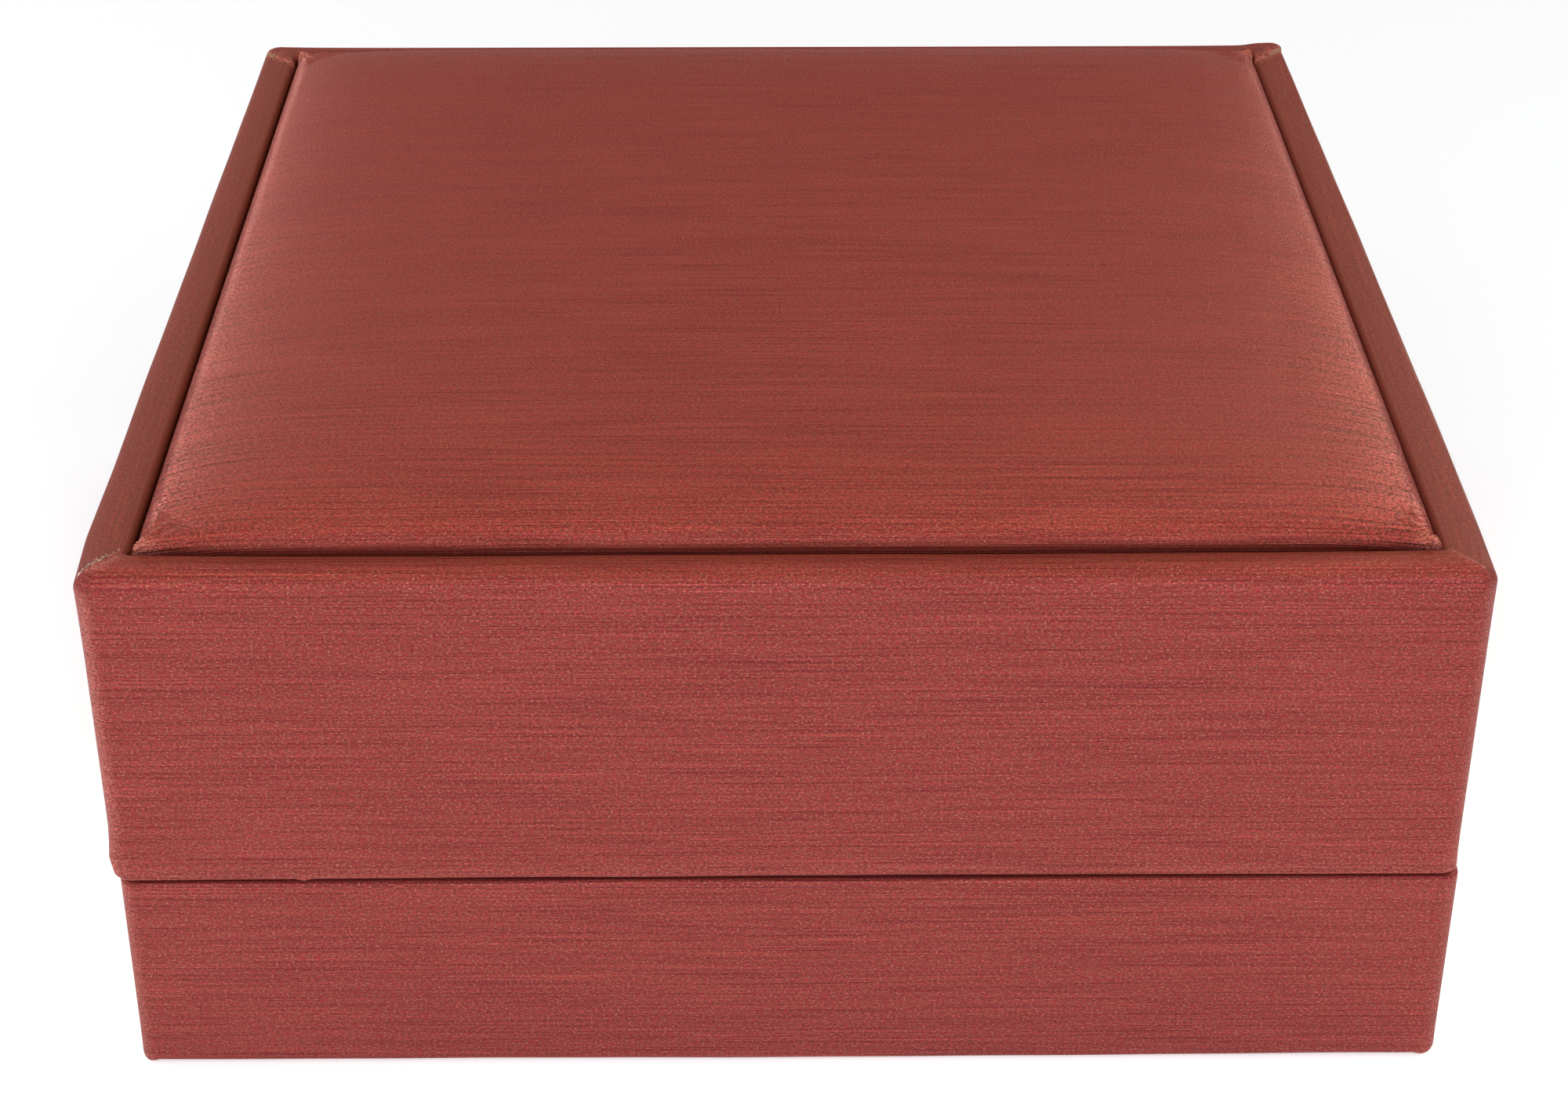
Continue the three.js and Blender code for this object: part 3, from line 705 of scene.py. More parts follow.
def cushion(
    name, half, middle, foot, shoulder, roll, shape, material,
    fall=None, inner_count=56, tuck=0, skin=0,
):
    """A crowned form with edges rolled by a width, and by a fall each way where that differs, and with
    sides down to its foot, which may be tucked in at the front and the rear. With a skin it is an open
    cover of that thickness, and without one it is closed underneath. Shape raises and moves its top."""
    x, y = np.meshgrid(*(edge_steps(side, roll, 9, inner_count) for side in half), indexing="ij")
    falls = zip((x, y), half, fall or (roll, roll))
    over = [(ramp(np.abs(place), side - roll, side), drop) for place, side, drop in falls]
    drop = np.power(sum((drop * (1 - np.sqrt(1 - share ** 2))) ** 4 for share, drop in over), 0.25)
    top = shape(np.stack([x, y, shoulder - drop], axis=-1), x, y)
    points = [top.reshape(-1, 3)]
    faces, rim = grid_faces(*x.shape)
    quads = [faces]
    rim_points = points[0][rim]
    total = x.size
    upper = rim
    for share in (0.08, 0.17, 0.28, 0.45, 0.7, 1):
        lower_points = rim_points.copy()
        lower_points[:, 2] = rim_points[:, 2] + (foot - rim_points[:, 2]) * share
        lower_points[:, 1] *= 1 - tuck / half[1] * math.sin(math.pi / 2 * min(1, 3.5 * share))
        lower = np.arange(len(rim)) + total
        points.append(lower_points)
        quads.append(np.stack([upper, lower, np.roll(lower, -1), np.roll(upper, -1)], -1))
        total += len(rim)
        upper = lower
    faces = np.concatenate(quads).tolist()
    if not skin:
        faces.append(upper[::-1].tolist())
    places = np.concatenate(points)
    places[:, :2] += np.array(middle)
    mesh = bpy.data.meshes.new(name)
    mesh.from_pydata(places.tolist(), [], faces)
    if not skin:
        return finished_piece(name, mesh, material, sharp=70)
    draft = placed(name, mesh)
    solid = draft.modifiers.new("skin", "SOLIDIFY")
    solid.thickness = skin
    solid.offset = -1
    mesh = baked(draft).data
    bpy.data.objects.remove(draft)
    return finished_piece(name, mesh, material, sharp=70)


air_pressure = 4
swelling_frames = 20


def swelled(half, cells=24, scale=8):
    """How a cover swells: a flat sheet of its size, held at its edges, with air pressing from below and no
    gravity, run as cloth for twenty frames. Gives the rise at any place, as a share of the highest."""
    xs, ys = (np.linspace(-side, side, cells + 1) for side in half)
    x, y = np.meshgrid(xs, ys, indexing="ij")
    rise = pressed_sheet(x * scale, y * scale)
    rise = np.clip(rise / rise.max(), 0, 1)

    def share(x, y):
        column = np.clip((x + half[0]) / (2 * half[0]) * cells, 0, cells - 1e-6)
        row = np.clip((y + half[1]) / (2 * half[1]) * cells, 0, cells - 1e-6)
        i, j = column.astype(int), row.astype(int)
        a, b = column - i, row - j
        near = rise[i, j] * (1 - b) + rise[i, j + 1] * b
        far = rise[i + 1, j] * (1 - b) + rise[i + 1, j + 1] * b
        return near * (1 - a) + far * a

    return share


def pressed_sheet(x, y):
    """The cloth run itself: the height of each point of a grid after it."""
    quads, rim = grid_faces(*x.shape)
    mesh = bpy.data.meshes.new("pressed_sheet")
    mesh.from_pydata(np.stack([x, y, 0 * x], -1).reshape(-1, 3).tolist(), [], quads.tolist())
    sheet = placed("pressed_sheet", mesh)
    held = sheet.vertex_groups.new(name="held")
    held.add(rim.tolist(), 1, "REPLACE")
    cloth = sheet.modifiers.new("cloth", "CLOTH")
    cloth.settings.use_pressure = True
    cloth.settings.uniform_pressure_force = air_pressure
    cloth.settings.effector_weights.gravity = 0
    cloth.settings.vertex_group_mass = "held"
    cloth.point_cache.frame_start = 1
    cloth.point_cache.frame_end = swelling_frames
    for moment in range(1, swelling_frames + 1):
        bpy.context.scene.frame_set(moment)
    shown = sheet.evaluated_get(bpy.context.evaluated_depsgraph_get())
    places = np.empty(x.size * 3)
    shown.data.vertices.foreach_get("co", places)
    bpy.context.scene.frame_set(1)
    bpy.data.meshes.remove(mesh)
    return places.reshape(*x.shape, 3)[..., 2]


pad_low, pad_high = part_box("pad_velvet")
pad_half = ((pad_high.x - pad_low.x) / 2, (pad_high.y - pad_low.y) / 2)
pad_middle = ((pad_high.x + pad_low.x) / 2, (pad_high.y + pad_low.y) / 2)
pad_crown = 0.7 * mm
slit_length = 14 * mm
slit_width = 1.4 * mm
slit_angle = math.radians(35)
slit_dent = 0.25 * mm
slit_side, slit_back = pad_half[0] - 20 * mm, pad_half[1] - 16 * mm
slit_places = [(side * slit_side, slit_back, -side * slit_angle) for side in (-1, 1)]
pad_rise = swelled(pad_half)


def pad_shape(top, x, y):
    """The pad's crown, dented along both slits."""
    top[..., 2] += pad_crown * np.sqrt(pad_rise(x, y))
    for slit_x, slit_y, turn in slit_places:
        along = (x - slit_x) * math.cos(turn) + (y - slit_y) * math.sin(turn)
        across = -(x - slit_x) * math.sin(turn) + (y - slit_y) * math.cos(turn)
        beyond = np.maximum(np.abs(along) - slit_length / 2, 0)
        distance = np.sqrt(across ** 2 + beyond ** 2)
        top[..., 2] -= slit_dent * hump(distance, slit_width)
    return top


def chain_slits(width):
    """Cutters for the two slits: long rounded slots through the whole pad."""
    meshes = []
    for slit_x, slit_y, turn in slit_places:
        straight = slit_length / 2 - width / 2
        turns = np.linspace(-math.pi / 2, math.pi / 2, 9)
        outline = [(straight + width / 2 * math.cos(a), width / 2 * math.sin(a)) for a in turns]
        outline += [(-x, -y) for x, y in outline]
        middle = Vector((pad_middle[0] + slit_x, pad_middle[1] + slit_y, 0))
        place = Matrix.Translation(middle) @ Matrix.Rotation(turn, 4, "Z")
        ends = (pad_low.z, pad_high.z + 1 * mm)
        rings = [[place @ Vector((x, y, z)) for x, y in outline] for z in ends]
        count = len(outline)
        faces = [list(range(count))[::-1], list(range(count, 2 * count))]
        faces += [[i, (i + 1) % count, (i + 1) % count + count, i + count] for i in range(count)]
        mesh = bpy.data.meshes.new("slit")
        mesh.from_pydata([tuple(point) for ring in rings for point in ring], [], faces)
        meshes.append(mesh)
    return meshes


foam_low, foam_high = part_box("pad_foam")
foam_half = ((foam_high.x - foam_low.x) / 2, (foam_high.y - foam_low.y) / 2)
pad_foam = cushion(
    "pad_foam_block", foam_half, pad_middle, foam_low.z, foam_high.z - pad_crown, 0.8 * mm, pad_shape, foam,
    inner_count=24,
)
cut_out(pad_foam, chain_slits(slit_width))
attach(pad_foam, "necklace_pad")
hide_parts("pad_foam")

pad_velvet = cushion(
    "pad_velvet_cover", pad_half, pad_middle, pad_low.z, pad_high.z - pad_crown, 1.1 * mm, pad_shape,
    ivory_velvet, skin=0.5 * mm,
)
cut_out(pad_velvet, chain_slits(slit_width - 0.3 * mm))
pad_velvet.data.set_sharp_from_angle(angle=math.radians(50))
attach(pad_velvet, "necklace_pad")
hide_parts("pad_velvet")


# Lid shell: the lid's moulded core, with a plate set below its rim for the padded panel. The same black
# polystyrene as the base.
dress("lid_shell", moulding)


# Lid covering: one strip of the same paper round the lid, rolled in at the bottom edge and folded over the
# rim down into the recess. At the corners the front and rear flaps lap over the side flaps and end raw.
lid_low, lid_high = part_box("lid_wrap")
recess_floor = 40.5 * mm
rim_fold = 1.4 * mm
rear_fold = 0.6 * mm
inner_fold = 0.5 * mm
floor_fold = 0.9 * mm
rim_bulge = 0.3 * mm
rim_paper = 0.25 * mm
lap_height = 0.2 * mm
ear_height = 0.2 * mm
nib_height = 0.19 * mm
rubbed_and_highlit_top = 42 * mm
lid_line = folded_line([
    (wall, lid_low.z + turn_in), (wall, lid_low.z), (0, lid_low.z), (0, lid_high.z), (wall, lid_high.z),
    (wall, recess_floor), (wall + turn_in, recess_floor),
], [tight_fold, tight_fold, rim_fold, inner_fold, floor_fold])
nib_x = -35.95 * mm
lid_columns = box_columns([nib_x])
anchors, outwards, run = lid_columns
left, right, front, rear, corner = facings(outwards)
inset, height = lid_line[:, 0][:, None], lid_line[:, 1][:, None]
ground = loop_points(anchors[None], outwards[None], np.repeat(inset, len(anchors), axis=1))
far_x, far_y = np.abs(ground[..., 0]), np.abs(ground[..., 1])
to_corner = np.hypot(*(box_half - corner_radius) * (1 - np.abs(anchors)).T)

from_edge = height - lid_low.z
above = height > recess_floor + 1.5 * mm
on_rim = ramp(inset, 0.2 * mm, 1 * mm) * above * (inset < wall + 0.1 * mm)
inner_rim = ramp(inset, 1 * mm, 2.4 * mm) * ramp(height, recess_floor, recess_floor + 3 * mm)
inner_rim = inner_rim * (inset < wall + 0.01 * mm) * (height > recess_floor + 0.5 * mm)
at_rim = hump(height - lid_high.z, 5 * mm)
at_slit = hump(from_edge, 1.5 * mm)
flare = hump(from_edge - 1.5 * mm, 1.7 * mm)
at_edge = hump(from_edge, 0.7 * mm)
outside = 1 - ramp(inset, 0, outside_depth)

mitre_shift = {(-1, -1): 1.35 * mm, (1, -1): 0.1 * mm, (-1, 1): 1.55 * mm, (1, 1): 1.15 * mm}
fraying = {(-1, -1): 0.95, (1, -1): 0.32, (-1, 1): 0.6, (1, 1): 0.75}
bent_corner = (-1, -1)
eared_corner = (1, 1)


def seam_bend(far):
    """How far the bent seam turns away from its mitre, at a distance from the box's middle."""
    return 0.7 * np.clip((48.2 * mm - far) / (1.7 * mm), 0, 1) ** 2


quarter = [(1 if x > 0 else -1, 1 if y > 0 else -1) for x, y in anchors]
shift = np.array([mitre_shift[key] for key in quarter])
shift = shift * (1 - np.array([key == bent_corner for key in quarter]) * seam_bend(far_x))
lid_seam = (far_x - far_y - shift) / math.sqrt(2)
flap = 0.5 - 0.5 * np.tanh(lid_seam / (0.06 * mm))
lid_seam = lid_seam * (1 + 0.6 * (anchors[:, 1] > 0))
lid_frayed = np.array([fraying[key] for key in quarter]) * (on_rim > 0.2)
lid_frayed = lid_frayed * (inset < 2.45 * mm) * (np.abs(lid_seam) < 3 * mm)

slow = ripple(run[:-1], [(37 * mm, 0.03 * mm), (17 * mm, 0.018 * mm), (71 * mm, 0.035 * mm)])
lid_puff = 0.5 * slow * (1 - rear)
lap = lap_height * np.exp(-np.abs(lid_seam) / (5 * mm)) * flap
at_ear = np.array([key == eared_corner for key in quarter]) * (1 - ramp(to_corner, 1 * mm, 3.2 * mm))
raised = ramp(height, lid_high.z - 1.8 * mm, lid_high.z - 0.2 * mm)
ear = ear_height * at_ear ** 2 * (3 - 2 * at_ear) * flap * raised
closing = 0.2 * mm * (1 - ramp(to_corner, 0, 48 * mm)) + 0.6 * np.abs(slow)
nib = nib_height * hump(ground[..., 0] - nib_x, 0.4 * mm) * front
lid_lift = lap * on_rim + ear + (0.08 + 0.14 * front) * mm * on_rim * inner_rim
lid_lift = lid_lift - at_slit * (1 - rear) * closing - nib * hump(from_edge, 0.6 * mm)
forward = np.clip(-anchors[:, 1], -1, 1)
near_front = ramp(forward, 0.89, 1)
left_rim = 0.2 * ramp(forward, 0.7, 0.9) - 0.08 + 0.12 * forward - 0.08 * forward ** 2 - 0.3 * corner
right_rim = 0.27 * near_front - 0.10 - 0.21 * (forward - 0.4) ** 2 - 0.25 * corner
left_bulge = 0.16 + 0.04 * forward + at_rim * left_rim + corner * (0.42 * flare - 0.22 * at_edge)
right_bulge = at_rim * right_rim - 0.05 + 0.14 * corner * at_slit
lid_spread = (left * left_bulge + right * right_bulge) * mm * outside
lid_spread = lid_spread - rim_bulge * (1 + right) * inner_rim
on_fold = (inset <= rim_fold) & (height >= lid_high.z - rim_fold)
tighter = (rim_fold - rear_fold) / rim_fold * (1 - front ** 2) * (1 - near_front) * on_fold
lid_spread = lid_spread + tighter * inset
lid_lift = lid_lift + tighter * (lid_high.z - height)

# Painted shade: the rim's inner edge along the groove is marked to be browned darker, besides its real
# ribs.
inner_roll = hump(inset - wall, 0.7 * mm) * (height > lid_high.z - 2 * mm)
# Paler front vertical corners, more on the left: rubbed paper and a painted highlight.
rubbed_and_highlit_corner = corner * front * (1.1 * left + 0.4 * right) * outside * (height < rubbed_and_highlit_top)
# Painted highlight: a paler line along the lid's lower fold, above the parting.
low_edge = hump(from_edge, 0.4 * mm) * outside * (1 - rear)
rear_seam = hump(lid_seam, 0.7 * mm) * (anchors[:, 1] > 0) * on_rim
lid_marks = {
    "rib": inner_roll * (1 - 0.2 * left - 0.6 * right),
    # Painted shade: the side flaps on the rim are marked to be darkened.
    "turned": (1 - flap) * ramp(height, lid_high.z - rim_fold, lid_high.z - rim_fold + 1 * mm),
    "worn": np.clip(0.6 * low_edge + rear_seam, 0, 1) + rubbed_and_highlit_corner,
    "seam": lid_seam,
    "frayed": lid_frayed,
}
thinned = (inset < rim_fold) & (height > lid_high.z - rim_fold)
lid_paper = np.where(thinned, rim_paper, paper_thickness)[:, 0]
lid_cover = sweep_paper(
    "lid_covering", lid_line, lid_columns, lid_puff, lid_lift, lid_spread, lid_marks, leatherette,
    thickness=lid_paper,
)
cut_out(lid_cover, hinge_notches(
    (slit_bottom, hinge_axis.z + notch_reach), (slit_bottom, lid_low.z + 2 * turn_in),
))
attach(lid_cover, "lid")
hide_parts("lid_wrap")


# Seam fibres: where the flaps of the lid's paper were cut off at the corners, its pale core frays into
# short fibres. They are part of the paper, and stand along the three seams that are worn most.
torn_core, wire, place = new_finish("torn_paper_core")
wisp = place.noise(5200, detail=2, roughness=0.7)
coat(wire, {
    "Base Color": wisp.rise(0.38, 0.62).blend((0.16, 0.09, 0.075, 1), (0.60, 0.53, 0.49, 1)),
    "Roughness": 0.8 + 0.15 * wisp,
    "Normal": wisp.bump(0.01 * mm, 0.4),
})
fibre_tree, given, result = new_tree("torn_fibres", {
    "Spacing": "NodeSocketFloat", "Length": "NodeSocketFloat", "Scatter": "NodeSocketFloat",
    "Seed": "NodeSocketInt", "Material": "NodeSocketMaterial",
})
path = tree_node(fibre_tree, "GeometryNodeMeshToCurve", None, {"Mesh": given.outputs["Geometry"]})
spots = tree_node(fibre_tree, "GeometryNodeResampleCurve", {"mode": "LENGTH"}, {
    "Curve": path, "Length": given.outputs["Spacing"],
})
throw = tree_node(fibre_tree, "FunctionNodeRandomValue", {"data_type": "FLOAT_VECTOR"}, {
    0: (-1, -1, 0), 1: (1, 1, 0.3), "Seed": given.outputs["Seed"],
})
aside = tree_node(fibre_tree, "ShaderNodeVectorMath", {"operation": "SCALE"}, {
    0: throw, "Scale": given.outputs["Scatter"],
})
strewn = tree_node(fibre_tree, "GeometryNodeSetPosition", None, {"Geometry": spots, "Offset": aside})
hair = tree_node(fibre_tree, "GeometryNodeMeshCone", {"fill_type": "NGON"}, {
    "Vertices": 4, "Radius Top": 0.006 * mm, "Radius Bottom": 0.024 * mm,
    "Depth": given.outputs["Length"],
})
lean = tree_node(fibre_tree, "FunctionNodeRandomValue", {"data_type": "FLOAT_VECTOR"}, {
    0: (1.1, -0.5, 0), 1: (1.6, 0.5, math.tau), "Seed": given.outputs["Seed"],
})
size = tree_node(fibre_tree, "FunctionNodeRandomValue", {"data_type": "FLOAT"}, {
    2: 0.4, 3: 1.2, "Seed": given.outputs["Seed"],
})
laid = tree_node(fibre_tree, "GeometryNodeInstanceOnPoints", None, {
    "Points": strewn, "Instance": hair, "Rotation": lean, "Scale": size.outputs[1],
})
finish_tree(fibre_tree, given, result, laid)

fibre_rise = 0.12 * mm
places, edges = [], []
for (side, end), shift in mitre_shift.items():
    if fraying[side, end] < 0.5:
        continue
    for step in range(13):
        far = box_half - (0.9 + 1.9 * step / 12) * mm
        bend = seam_bend(far) if (side, end) == bent_corner else 0
        if step:
            edges.append((len(places) - 1, len(places)))
        places.append((side * far, end * (far - shift * (1 - bend)), lid_high.z + fibre_rise))
seam_mesh = bpy.data.meshes.new("lid_seam_fibres")
seam_mesh.from_pydata(places, edges, [])
seam_fibres = grown("lid_seam_fibres", seam_mesh, fibre_tree, {
    "Spacing": 0.07 * mm, "Length": 0.32 * mm, "Scatter": 0.12 * mm, "Seed": 5, "Material": torn_core,
})
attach(seam_fibres, "lid")


# Padded panel: a card in the lid's recess, foam on it, and the same paper drawn over both. The paper is
# pleated into a point at each corner, and ribs up where it turns over the front and rear edges.
dress("lid_panel_board", card)
panel_low, panel_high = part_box("lid_panel_cover")
panel_ease = 0.05 * mm
panel_half = (panel_high.x + panel_ease, panel_high.y + panel_ease)
panel_middle = (-panel_ease, 0)
panel_tuck = 0.1 * mm
panel_roll = 1.5 * mm
panel_fall = (1.4 * mm, 0.85 * mm)
panel_skin = 0.2 * mm
slope_width = 9 * mm
panel_shoulder = lid_high.z + 1.2 * mm
panel_crown = panel_high.z - panel_shoulder
panel_rise = swelled(panel_half)


def panel_dome(top, x, y):
    """The panel's dome, steep at its edges and swelled between them."""
    u, v = np.abs(x) / panel_half[0], np.abs(y) / panel_half[1]
    square = np.power(u ** 12 + v ** 12, 1 / 12)
    steep = 1 - np.minimum(square, 1) ** 9
    top[..., 2] += panel_crown * (0.72 * steep + 0.28 * panel_rise(x, y))
    return top


def panel_shape(top, x, y):
    """The dome with a point drawn out and pleated at each corner."""
    top = panel_dome(top, x, y)
    in_x, in_y = panel_half[0] - np.abs(x), panel_half[1] - np.abs(y)
    away = np.hypot(in_x, in_y)
    turn = np.arctan2(in_y, in_x)
    pinch = hump(away, 2.2 * mm)
    tip = hump(away, 0.8 * mm)
    pleats = np.cos(turn * 16) * hump(away, 2.4 * mm) * ramp(away, 0, 0.5 * mm)
    top[..., 2] += 0.16 * mm * pleats + 0.6 * mm * tip - 0.25 * mm * pinch
    top[..., 0] += np.sign(x) * 0.08 * mm * tip
    top[..., 1] += np.sign(y) * 0.32 * mm * tip
    return top


foam_low, foam_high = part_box("lid_panel_foam")
foam_ease = 0.1 * mm
foam_half = (foam_high.x - foam_ease, foam_high.y - foam_ease)
panel_foam = cushion(
    "lid_panel_foam_block", foam_half, (0, 0), foam_low.z, foam_high.z - panel_crown - foam_ease,
    panel_roll, panel_dome, foam, fall=panel_fall, inner_count=24,
)
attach(panel_foam, "lid")
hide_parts("lid_panel_foam")

panel_cover = cushion(
    "lid_panel_covering", panel_half, panel_middle, panel_low.z, panel_shoulder, panel_roll, panel_shape,
    leatherette, fall=panel_fall, inner_count=80, tuck=panel_tuck, skin=panel_skin,
)


def lay_grain(piece, half):
    """Lays the paper's grain along X over a cushion, drawn forwards at its sides. Marks where the paper
    ribs up as it turns under the edges and where it creases on the slopes, both browned as painted shade;
    where it is stretched open on the slopes, brightened as a painted highlight strongest at the front
    right; and the tips, made paler as worn paper and as a painted highlight."""
    mesh = piece.data
    places = np.empty(len(mesh.vertices) * 3, np.float32)
    mesh.vertices.foreach_get("co", places)
    places = places.reshape(-1, 3)
    x, y, z = places.T
    corners = np.empty(len(mesh.loops), np.int32)
    mesh.loops.foreach_get("vertex_index", corners)
    fall = panel_shoulder - np.minimum(z, panel_shoulder)
    over = np.abs(y) > half[1] - panel_roll
    sideways = ramp(np.abs(x), half[0] - slope_width, half[0])
    pulled = sideways * np.clip(0.3 - y / half[1], 0, 1)
    across = y + np.sign(y) * fall * over + 0.8 * mm * sideways * pulled
    grain = mesh.uv_layers.new(name="grain")
    grain.data.foreach_set("uv", np.stack([x, across], axis=-1)[corners].ravel())
    away = np.hypot(*(np.array(half) - np.abs(places[:, :2] - np.array(panel_middle))).T)
    # Painted highlight: the corner tips are made paler, as well as worn.
    tip = hump(away, 1.3 * mm)
    # Painted shade: the paper is browned where it turns under the front and rear edges and along the
    # creases of the slopes.
    edge_ribs_and_shade = 0.55 * ramp(fall, 0.2 * mm, 0.8 * mm) * over
    creases_and_shade = np.where(x > 0, 0.26, 0.2) * pulled
    # Painted highlight: the slopes are brightened most at the front right, least at the rear, and a little
    # across the front.
    ahead = np.clip(0.5 - y / half[1] / 2, 0, 1)
    opening = np.where(x > 0, 1.35 * ahead - 0.2, 0.14 + 0.56 * ahead)
    opened = 0.3 * ahead + sideways * np.maximum(opening, 0)
    mark_points(mesh, {
        "rib": np.maximum(edge_ribs_and_shade, creases_and_shade) * (1 - tip), "opened": opened * (1 - tip), "worn": 2.4 * tip,
    })


lay_grain(panel_cover, panel_half)
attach(panel_cover, "lid")
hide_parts("lid_panel_cover")


# Lid lining: a card under the plate with a wadded satin pad on it, and four satin-covered strips glued
# round the walls below.
dress("lid_ceiling_card", card)


def satin_finish(name, dark, light):
    """Close satin weave: fine floats along one way, and a soft lengthwise gloss."""
    material, wire, place = new_finish(name)
    floats = place.stretch(350, 7000, 7000).noise(detail=2)
    weft = place.stretch(5200, 900, 900).noise(detail=1)
    drift = place.noise(90, detail=2)
    tone = 0.55 * floats + 0.35 * weft + 0.1 * drift
    coat(wire, {
        "Base Color": tone.rise(0.3, 0.7).blend(dark, light),
        "Roughness": 0.30 + 0.18 * weft,
        "Normal": (0.7 * floats + 0.3 * weft).bump(0.03 * mm, 0.6),
        "Sheen Weight": 0.25,
        "Sheen Roughness": 0.3,
        "Specular IOR Level": 0.6,
    })
    return material


ivory_satin = satin_finish("ivory_satin", (0.66, 0.585, 0.46, 1), (0.86, 0.80, 0.69, 1))
satin_low, satin_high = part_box("lid_ceiling_satin")
satin_half = (satin_high.x, satin_high.y)
satin_crown = 0.6 * mm
satin_roll = 0.6 * mm
satin_rise = swelled(satin_half)


def satin_shape(top, x, y):
    """The wadding's even swell."""
    top[..., 2] += satin_crown * np.sqrt(satin_rise(x, y))
    return top


satin_depth = satin_high.z - satin_low.z
ceiling = cushion(
    "lid_ceiling_pad", satin_half, (0, 0), 0, satin_depth - satin_crown, satin_roll, satin_shape,
    ivory_satin,
)
ceiling.data.transform(Matrix.Translation((0, 0, satin_high.z)) @ Matrix.Rotation(math.pi, 4, "X"))
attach(ceiling, "lid")
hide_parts("lid_ceiling_satin")
for side in ("front", "back", "left", "right"):
    wrapped_strip(f"lid_satin_{side}", f"lid_strip_{side}", "lid", ivory_satin)


# Spring hinges: stamped nickel-plated steel leaves rolled round a pin, with a flat spring in each base
# half. They are riveted to the shells inside the rear wall, and only the barrels show behind.
nickel, wire, place = new_finish("nickel_plate")
drawn = place.stretch(160, 5200, 5200).noise(detail=2)
worn = place.noise(420, detail=3)
coat(wire, {
    "Base Color": worn.rise(0.3, 0.75).blend((0.50, 0.49, 0.46, 1), (0.66, 0.65, 0.62, 1)),
    "Metallic": 1.0,
    "Roughness": 0.2 + 0.12 * drawn + 0.14 * worn,
    "Normal": drawn.bump(0.01 * mm, 0.5),
})
broken_edge = 0.07 * mm
merged_under = 0.001 * mm


def softened(name, node, body):
    """A stamped part: the CAD shape with its doubles merged and its edges broken by a small bevel."""
    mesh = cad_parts[node].data.copy()
    work = bmesh.new()
    work.from_mesh(mesh)
    bmesh.ops.remove_doubles(work, verts=work.verts, dist=merged_under)
    bmesh.ops.dissolve_limit(work, angle_limit=math.radians(1), verts=work.verts, edges=work.edges)
    work.to_mesh(mesh)
    work.free()
    piece = finished_piece(name, mesh, nickel, sharp=35)
    bevel = piece.modifiers.new("broken edges", "BEVEL")
    bevel.width = broken_edge
    bevel.segments = 2
    bevel.limit_method = "ANGLE"
    bevel.angle_limit = math.radians(40)
    baked(piece)
    piece.data.shade_smooth()
    piece.data.set_sharp_from_angle(angle=math.radians(35))
    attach(piece, body)
    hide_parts(node)


for side in hinge_places:
    for part, body in {"base_leaf": "base", "pin": "base", "spring": "base", "lid_leaf": "lid"}.items():
        softened(f"hinge_steel_{part}_{side}", f"hinge_{part}_{side}", body)


# Rivets: nickel-plated steel with a low domed head, three to a base leaf and two to a lid leaf. Each is
# driven through its leaf into the shell behind it.
rivet_head = 0.6
rivet_profile = [
    (0, -rivet_head), (0.5, -0.56), (0.95, -0.44), (1.25, -0.26), (1.4, -0.08), (1.4, 0), (0.7, 0),
    (0.7, 1.9), (0, 1.9),
]


def rivet_shape():
    """One rivet along Y with its head in front of the origin: its half outline turned round its axis."""
    mesh = bpy.data.meshes.new("rivet")
    work = bmesh.new()
    line = [work.verts.new((radius * mm, along * mm, 0)) for radius, along in rivet_profile]
    edges = [work.edges.new(pair) for pair in zip(line, line[1:])]
    bmesh.ops.spin(
        work, geom=line + edges, axis=(0, 1, 0), cent=(0, 0, 0), angle=math.tau, steps=24,
        use_merge=True,
    )
    bmesh.ops.remove_doubles(work, verts=work.verts, dist=merged_under)
    bmesh.ops.recalc_face_normals(work, faces=work.faces)
    work.to_mesh(mesh)
    work.free()
    return placed("rivet", mesh)


rivet_tree, given, result = new_tree("set_rivets", {
    "Rivet": "NodeSocketObject", "Size": "NodeSocketFloat", "Material": "NodeSocketMaterial",
})
shape = tree_node(rivet_tree, "GeometryNodeObjectInfo", None, {"Object": given.outputs["Rivet"]})
points = tree_node(rivet_tree, "GeometryNodeMeshToPoints", None, {"Mesh": given.outputs["Geometry"]})
driven = tree_node(rivet_tree, "GeometryNodeInstanceOnPoints", None, {
    "Points": points, "Instance": shape.outputs["Geometry"], "Scale": given.outputs["Size"],
})
finish_tree(rivet_tree, given, result, driven)

one_rivet = rivet_shape()
for body in ("base", "lid"):
    nodes = sorted(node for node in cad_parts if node.startswith(f"{body}_rivet_"))
    seats = []
    for node in nodes:
        low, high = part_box(node)
        seats.append(((low.x + high.x) / 2, low.y + rivet_head * mm, (low.z + high.z) / 2))
    seat_mesh = bpy.data.meshes.new(f"{body}_rivets")
    seat_mesh.from_pydata(seats, [], [])
    rivets = grown(f"{body}_rivets", seat_mesh, rivet_tree, {
        "Rivet": one_rivet, "Size": 1.0, "Material": nickel,
    })
    rivets.data.shade_smooth()
    rivets.data.set_sharp_from_angle(angle=math.radians(40))
    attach(rivets, body)
    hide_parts(*nodes)
bpy.data.meshes.remove(one_rivet.data)


# Studio: a pale seamless floor in an even white room. The floor glows, most in front of the box and at its
# front left, as painted light that washes out the box's shadow. A large soft box stands over the front, two
# hang overhead, one stands low at each side, and two small ones with narrow grids behind the box light the
# slopes of its panel.
floor_paint, wire, place = new_finish("pale_floor")
shade = place.noise(3, detail=2)
behind = place.part(1).rise(-0.06, 0.06)
beside = place.part(0).size().rise(0.065, 0.09)
leftwards = (-1 * place.part(0)).rise(0.065, 0.09) * place.part(0).rise(-0.25, -0.15)
before = place.part(1).rise(-0.11, -0.065)
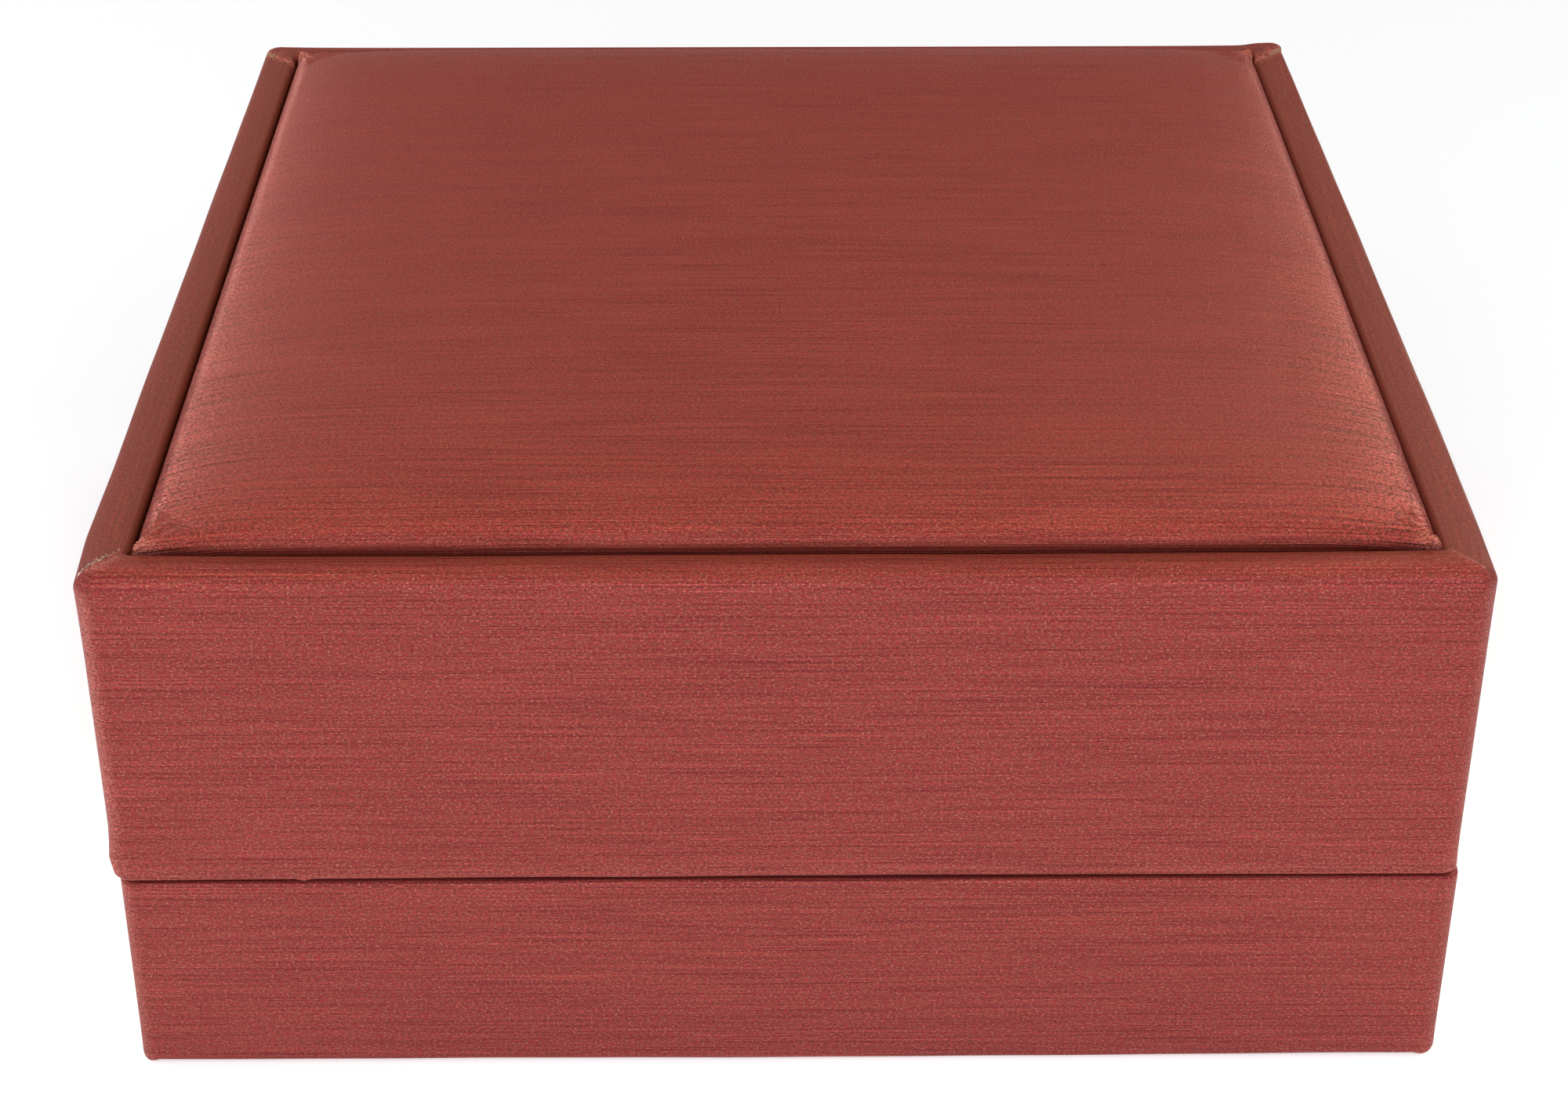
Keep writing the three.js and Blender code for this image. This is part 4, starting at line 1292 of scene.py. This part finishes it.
# Painted light: the floor glows more in front of the box, most at its front left, and beside it, washing
# out the box's shadow and lighting it from below.
shadow_fill_glow = (0.6 * beside + (4 * leftwards + 1.2) * before) * (1 - behind)
paint = shade.blend((0.85, 0.88, 0.93, 1), (0.88, 0.91, 0.96, 1))
coat(wire, {
    "Base Color": behind.blend(paint, (0.74, 0.80, 0.92, 1)),
    "Roughness": 0.8 + 0.1 * shade,
    "Specular IOR Level": 0.1,
    "Emission Color": behind.blend((1, 1, 1, 1), (0.45, 0.62, 0.86, 1)).times(1 + shadow_fill_glow),
    "Emission Strength": 0.21,
})
floor_mesh = bpy.data.meshes.new("floor")
reach = 3.0
ends = [(-reach, -reach, 0), (reach, -reach, 0), (reach, reach, 0), (-reach, reach, 0)]
floor_mesh.from_pydata(ends, [], [(0, 1, 2, 3)])
floor_mesh.materials.append(floor_paint)
floor = placed("floor", floor_mesh)

room = bpy.data.worlds.new("white_room")
room.use_nodes = True
sky = room.node_tree.nodes["Background"]
sky.inputs["Color"].default_value = (1, 0.93, 0.80, 1)
sky.inputs["Strength"].default_value = 0.38
bpy.context.scene.world = room


def soft_box(name, place, target, width, height, power, tint, spread=180):
    """An area light facing a target, with a grid on it where its spread is narrow."""
    lamp = bpy.data.lights.new(name, "AREA")
    lamp.shape = "RECTANGLE"
    lamp.size = width
    lamp.size_y = height
    lamp.energy = power
    lamp.color = tint
    lamp.spread = math.radians(spread)
    light = placed(name, lamp)
    light.location = place
    light.rotation_euler = (Vector(target) - Vector(place)).to_track_quat("-Z", "Y").to_euler()


soft_box("front_box", (0, -0.95, 0.62), (0, 0, 0.02), 1.6, 1.1, 12.2, (1, 0.97, 0.98))
soft_box("overhead_left_box", (-0.32, 0.2, 0.95), (0, 0, 0.03), 0.4, 0.5, 2.5, (1, 0.82, 0.52))
soft_box("overhead_right_box", (0.34, 0.24, 0.95), (0, 0, 0.03), 0.4, 0.5, 3.0, (1, 0.82, 0.52))
soft_box("left_box", (-0.85, -0.1, 0.22), (0, 0, 0.03), 0.6, 0.36, 1.3, (1, 0.94, 0.95))
soft_box("right_box", (0.85, -0.1, 0.22), (0, 0, 0.03), 0.4, 0.3, 0.8, (1, 0.92, 0.9))
soft_box("rear_left_box", (-0.50, 0.76, 0.30), (-0.08, -0.07, 0.045), 0.2, 0.2, 0.07, (1, 0.88, 0.80), 26)
soft_box("rear_right_box", (0.53, 0.69, 0.36), (0.09, -0.13, 0.045), 0.16, 0.16, 0.072, (1, 0.92, 0.78), 17)


# Camera: a long lens in front of the box and above it, at the photograph's viewing angle. The columns of
# its matrix are its sideways, upward and backward directions and its place.
lens = bpy.data.cameras.new("camera")
lens.lens = 68.910
lens.sensor_width = 36
lens.clip_start = 0.01
camera = placed("camera", lens)
camera.matrix_world = Matrix((
    (0.99993062, 0.00428451, -0.01097254, -0.002690),
    (-0.01160504, 0.51799150, -0.85530704, -0.228233),
    (0.00201911, 0.85537504, 0.51800528, 0.153957),
    (0, 0, 0, 1),
))
bpy.context.scene.camera = camera
bpy.context.scene.view_settings.view_transform = "Standard"
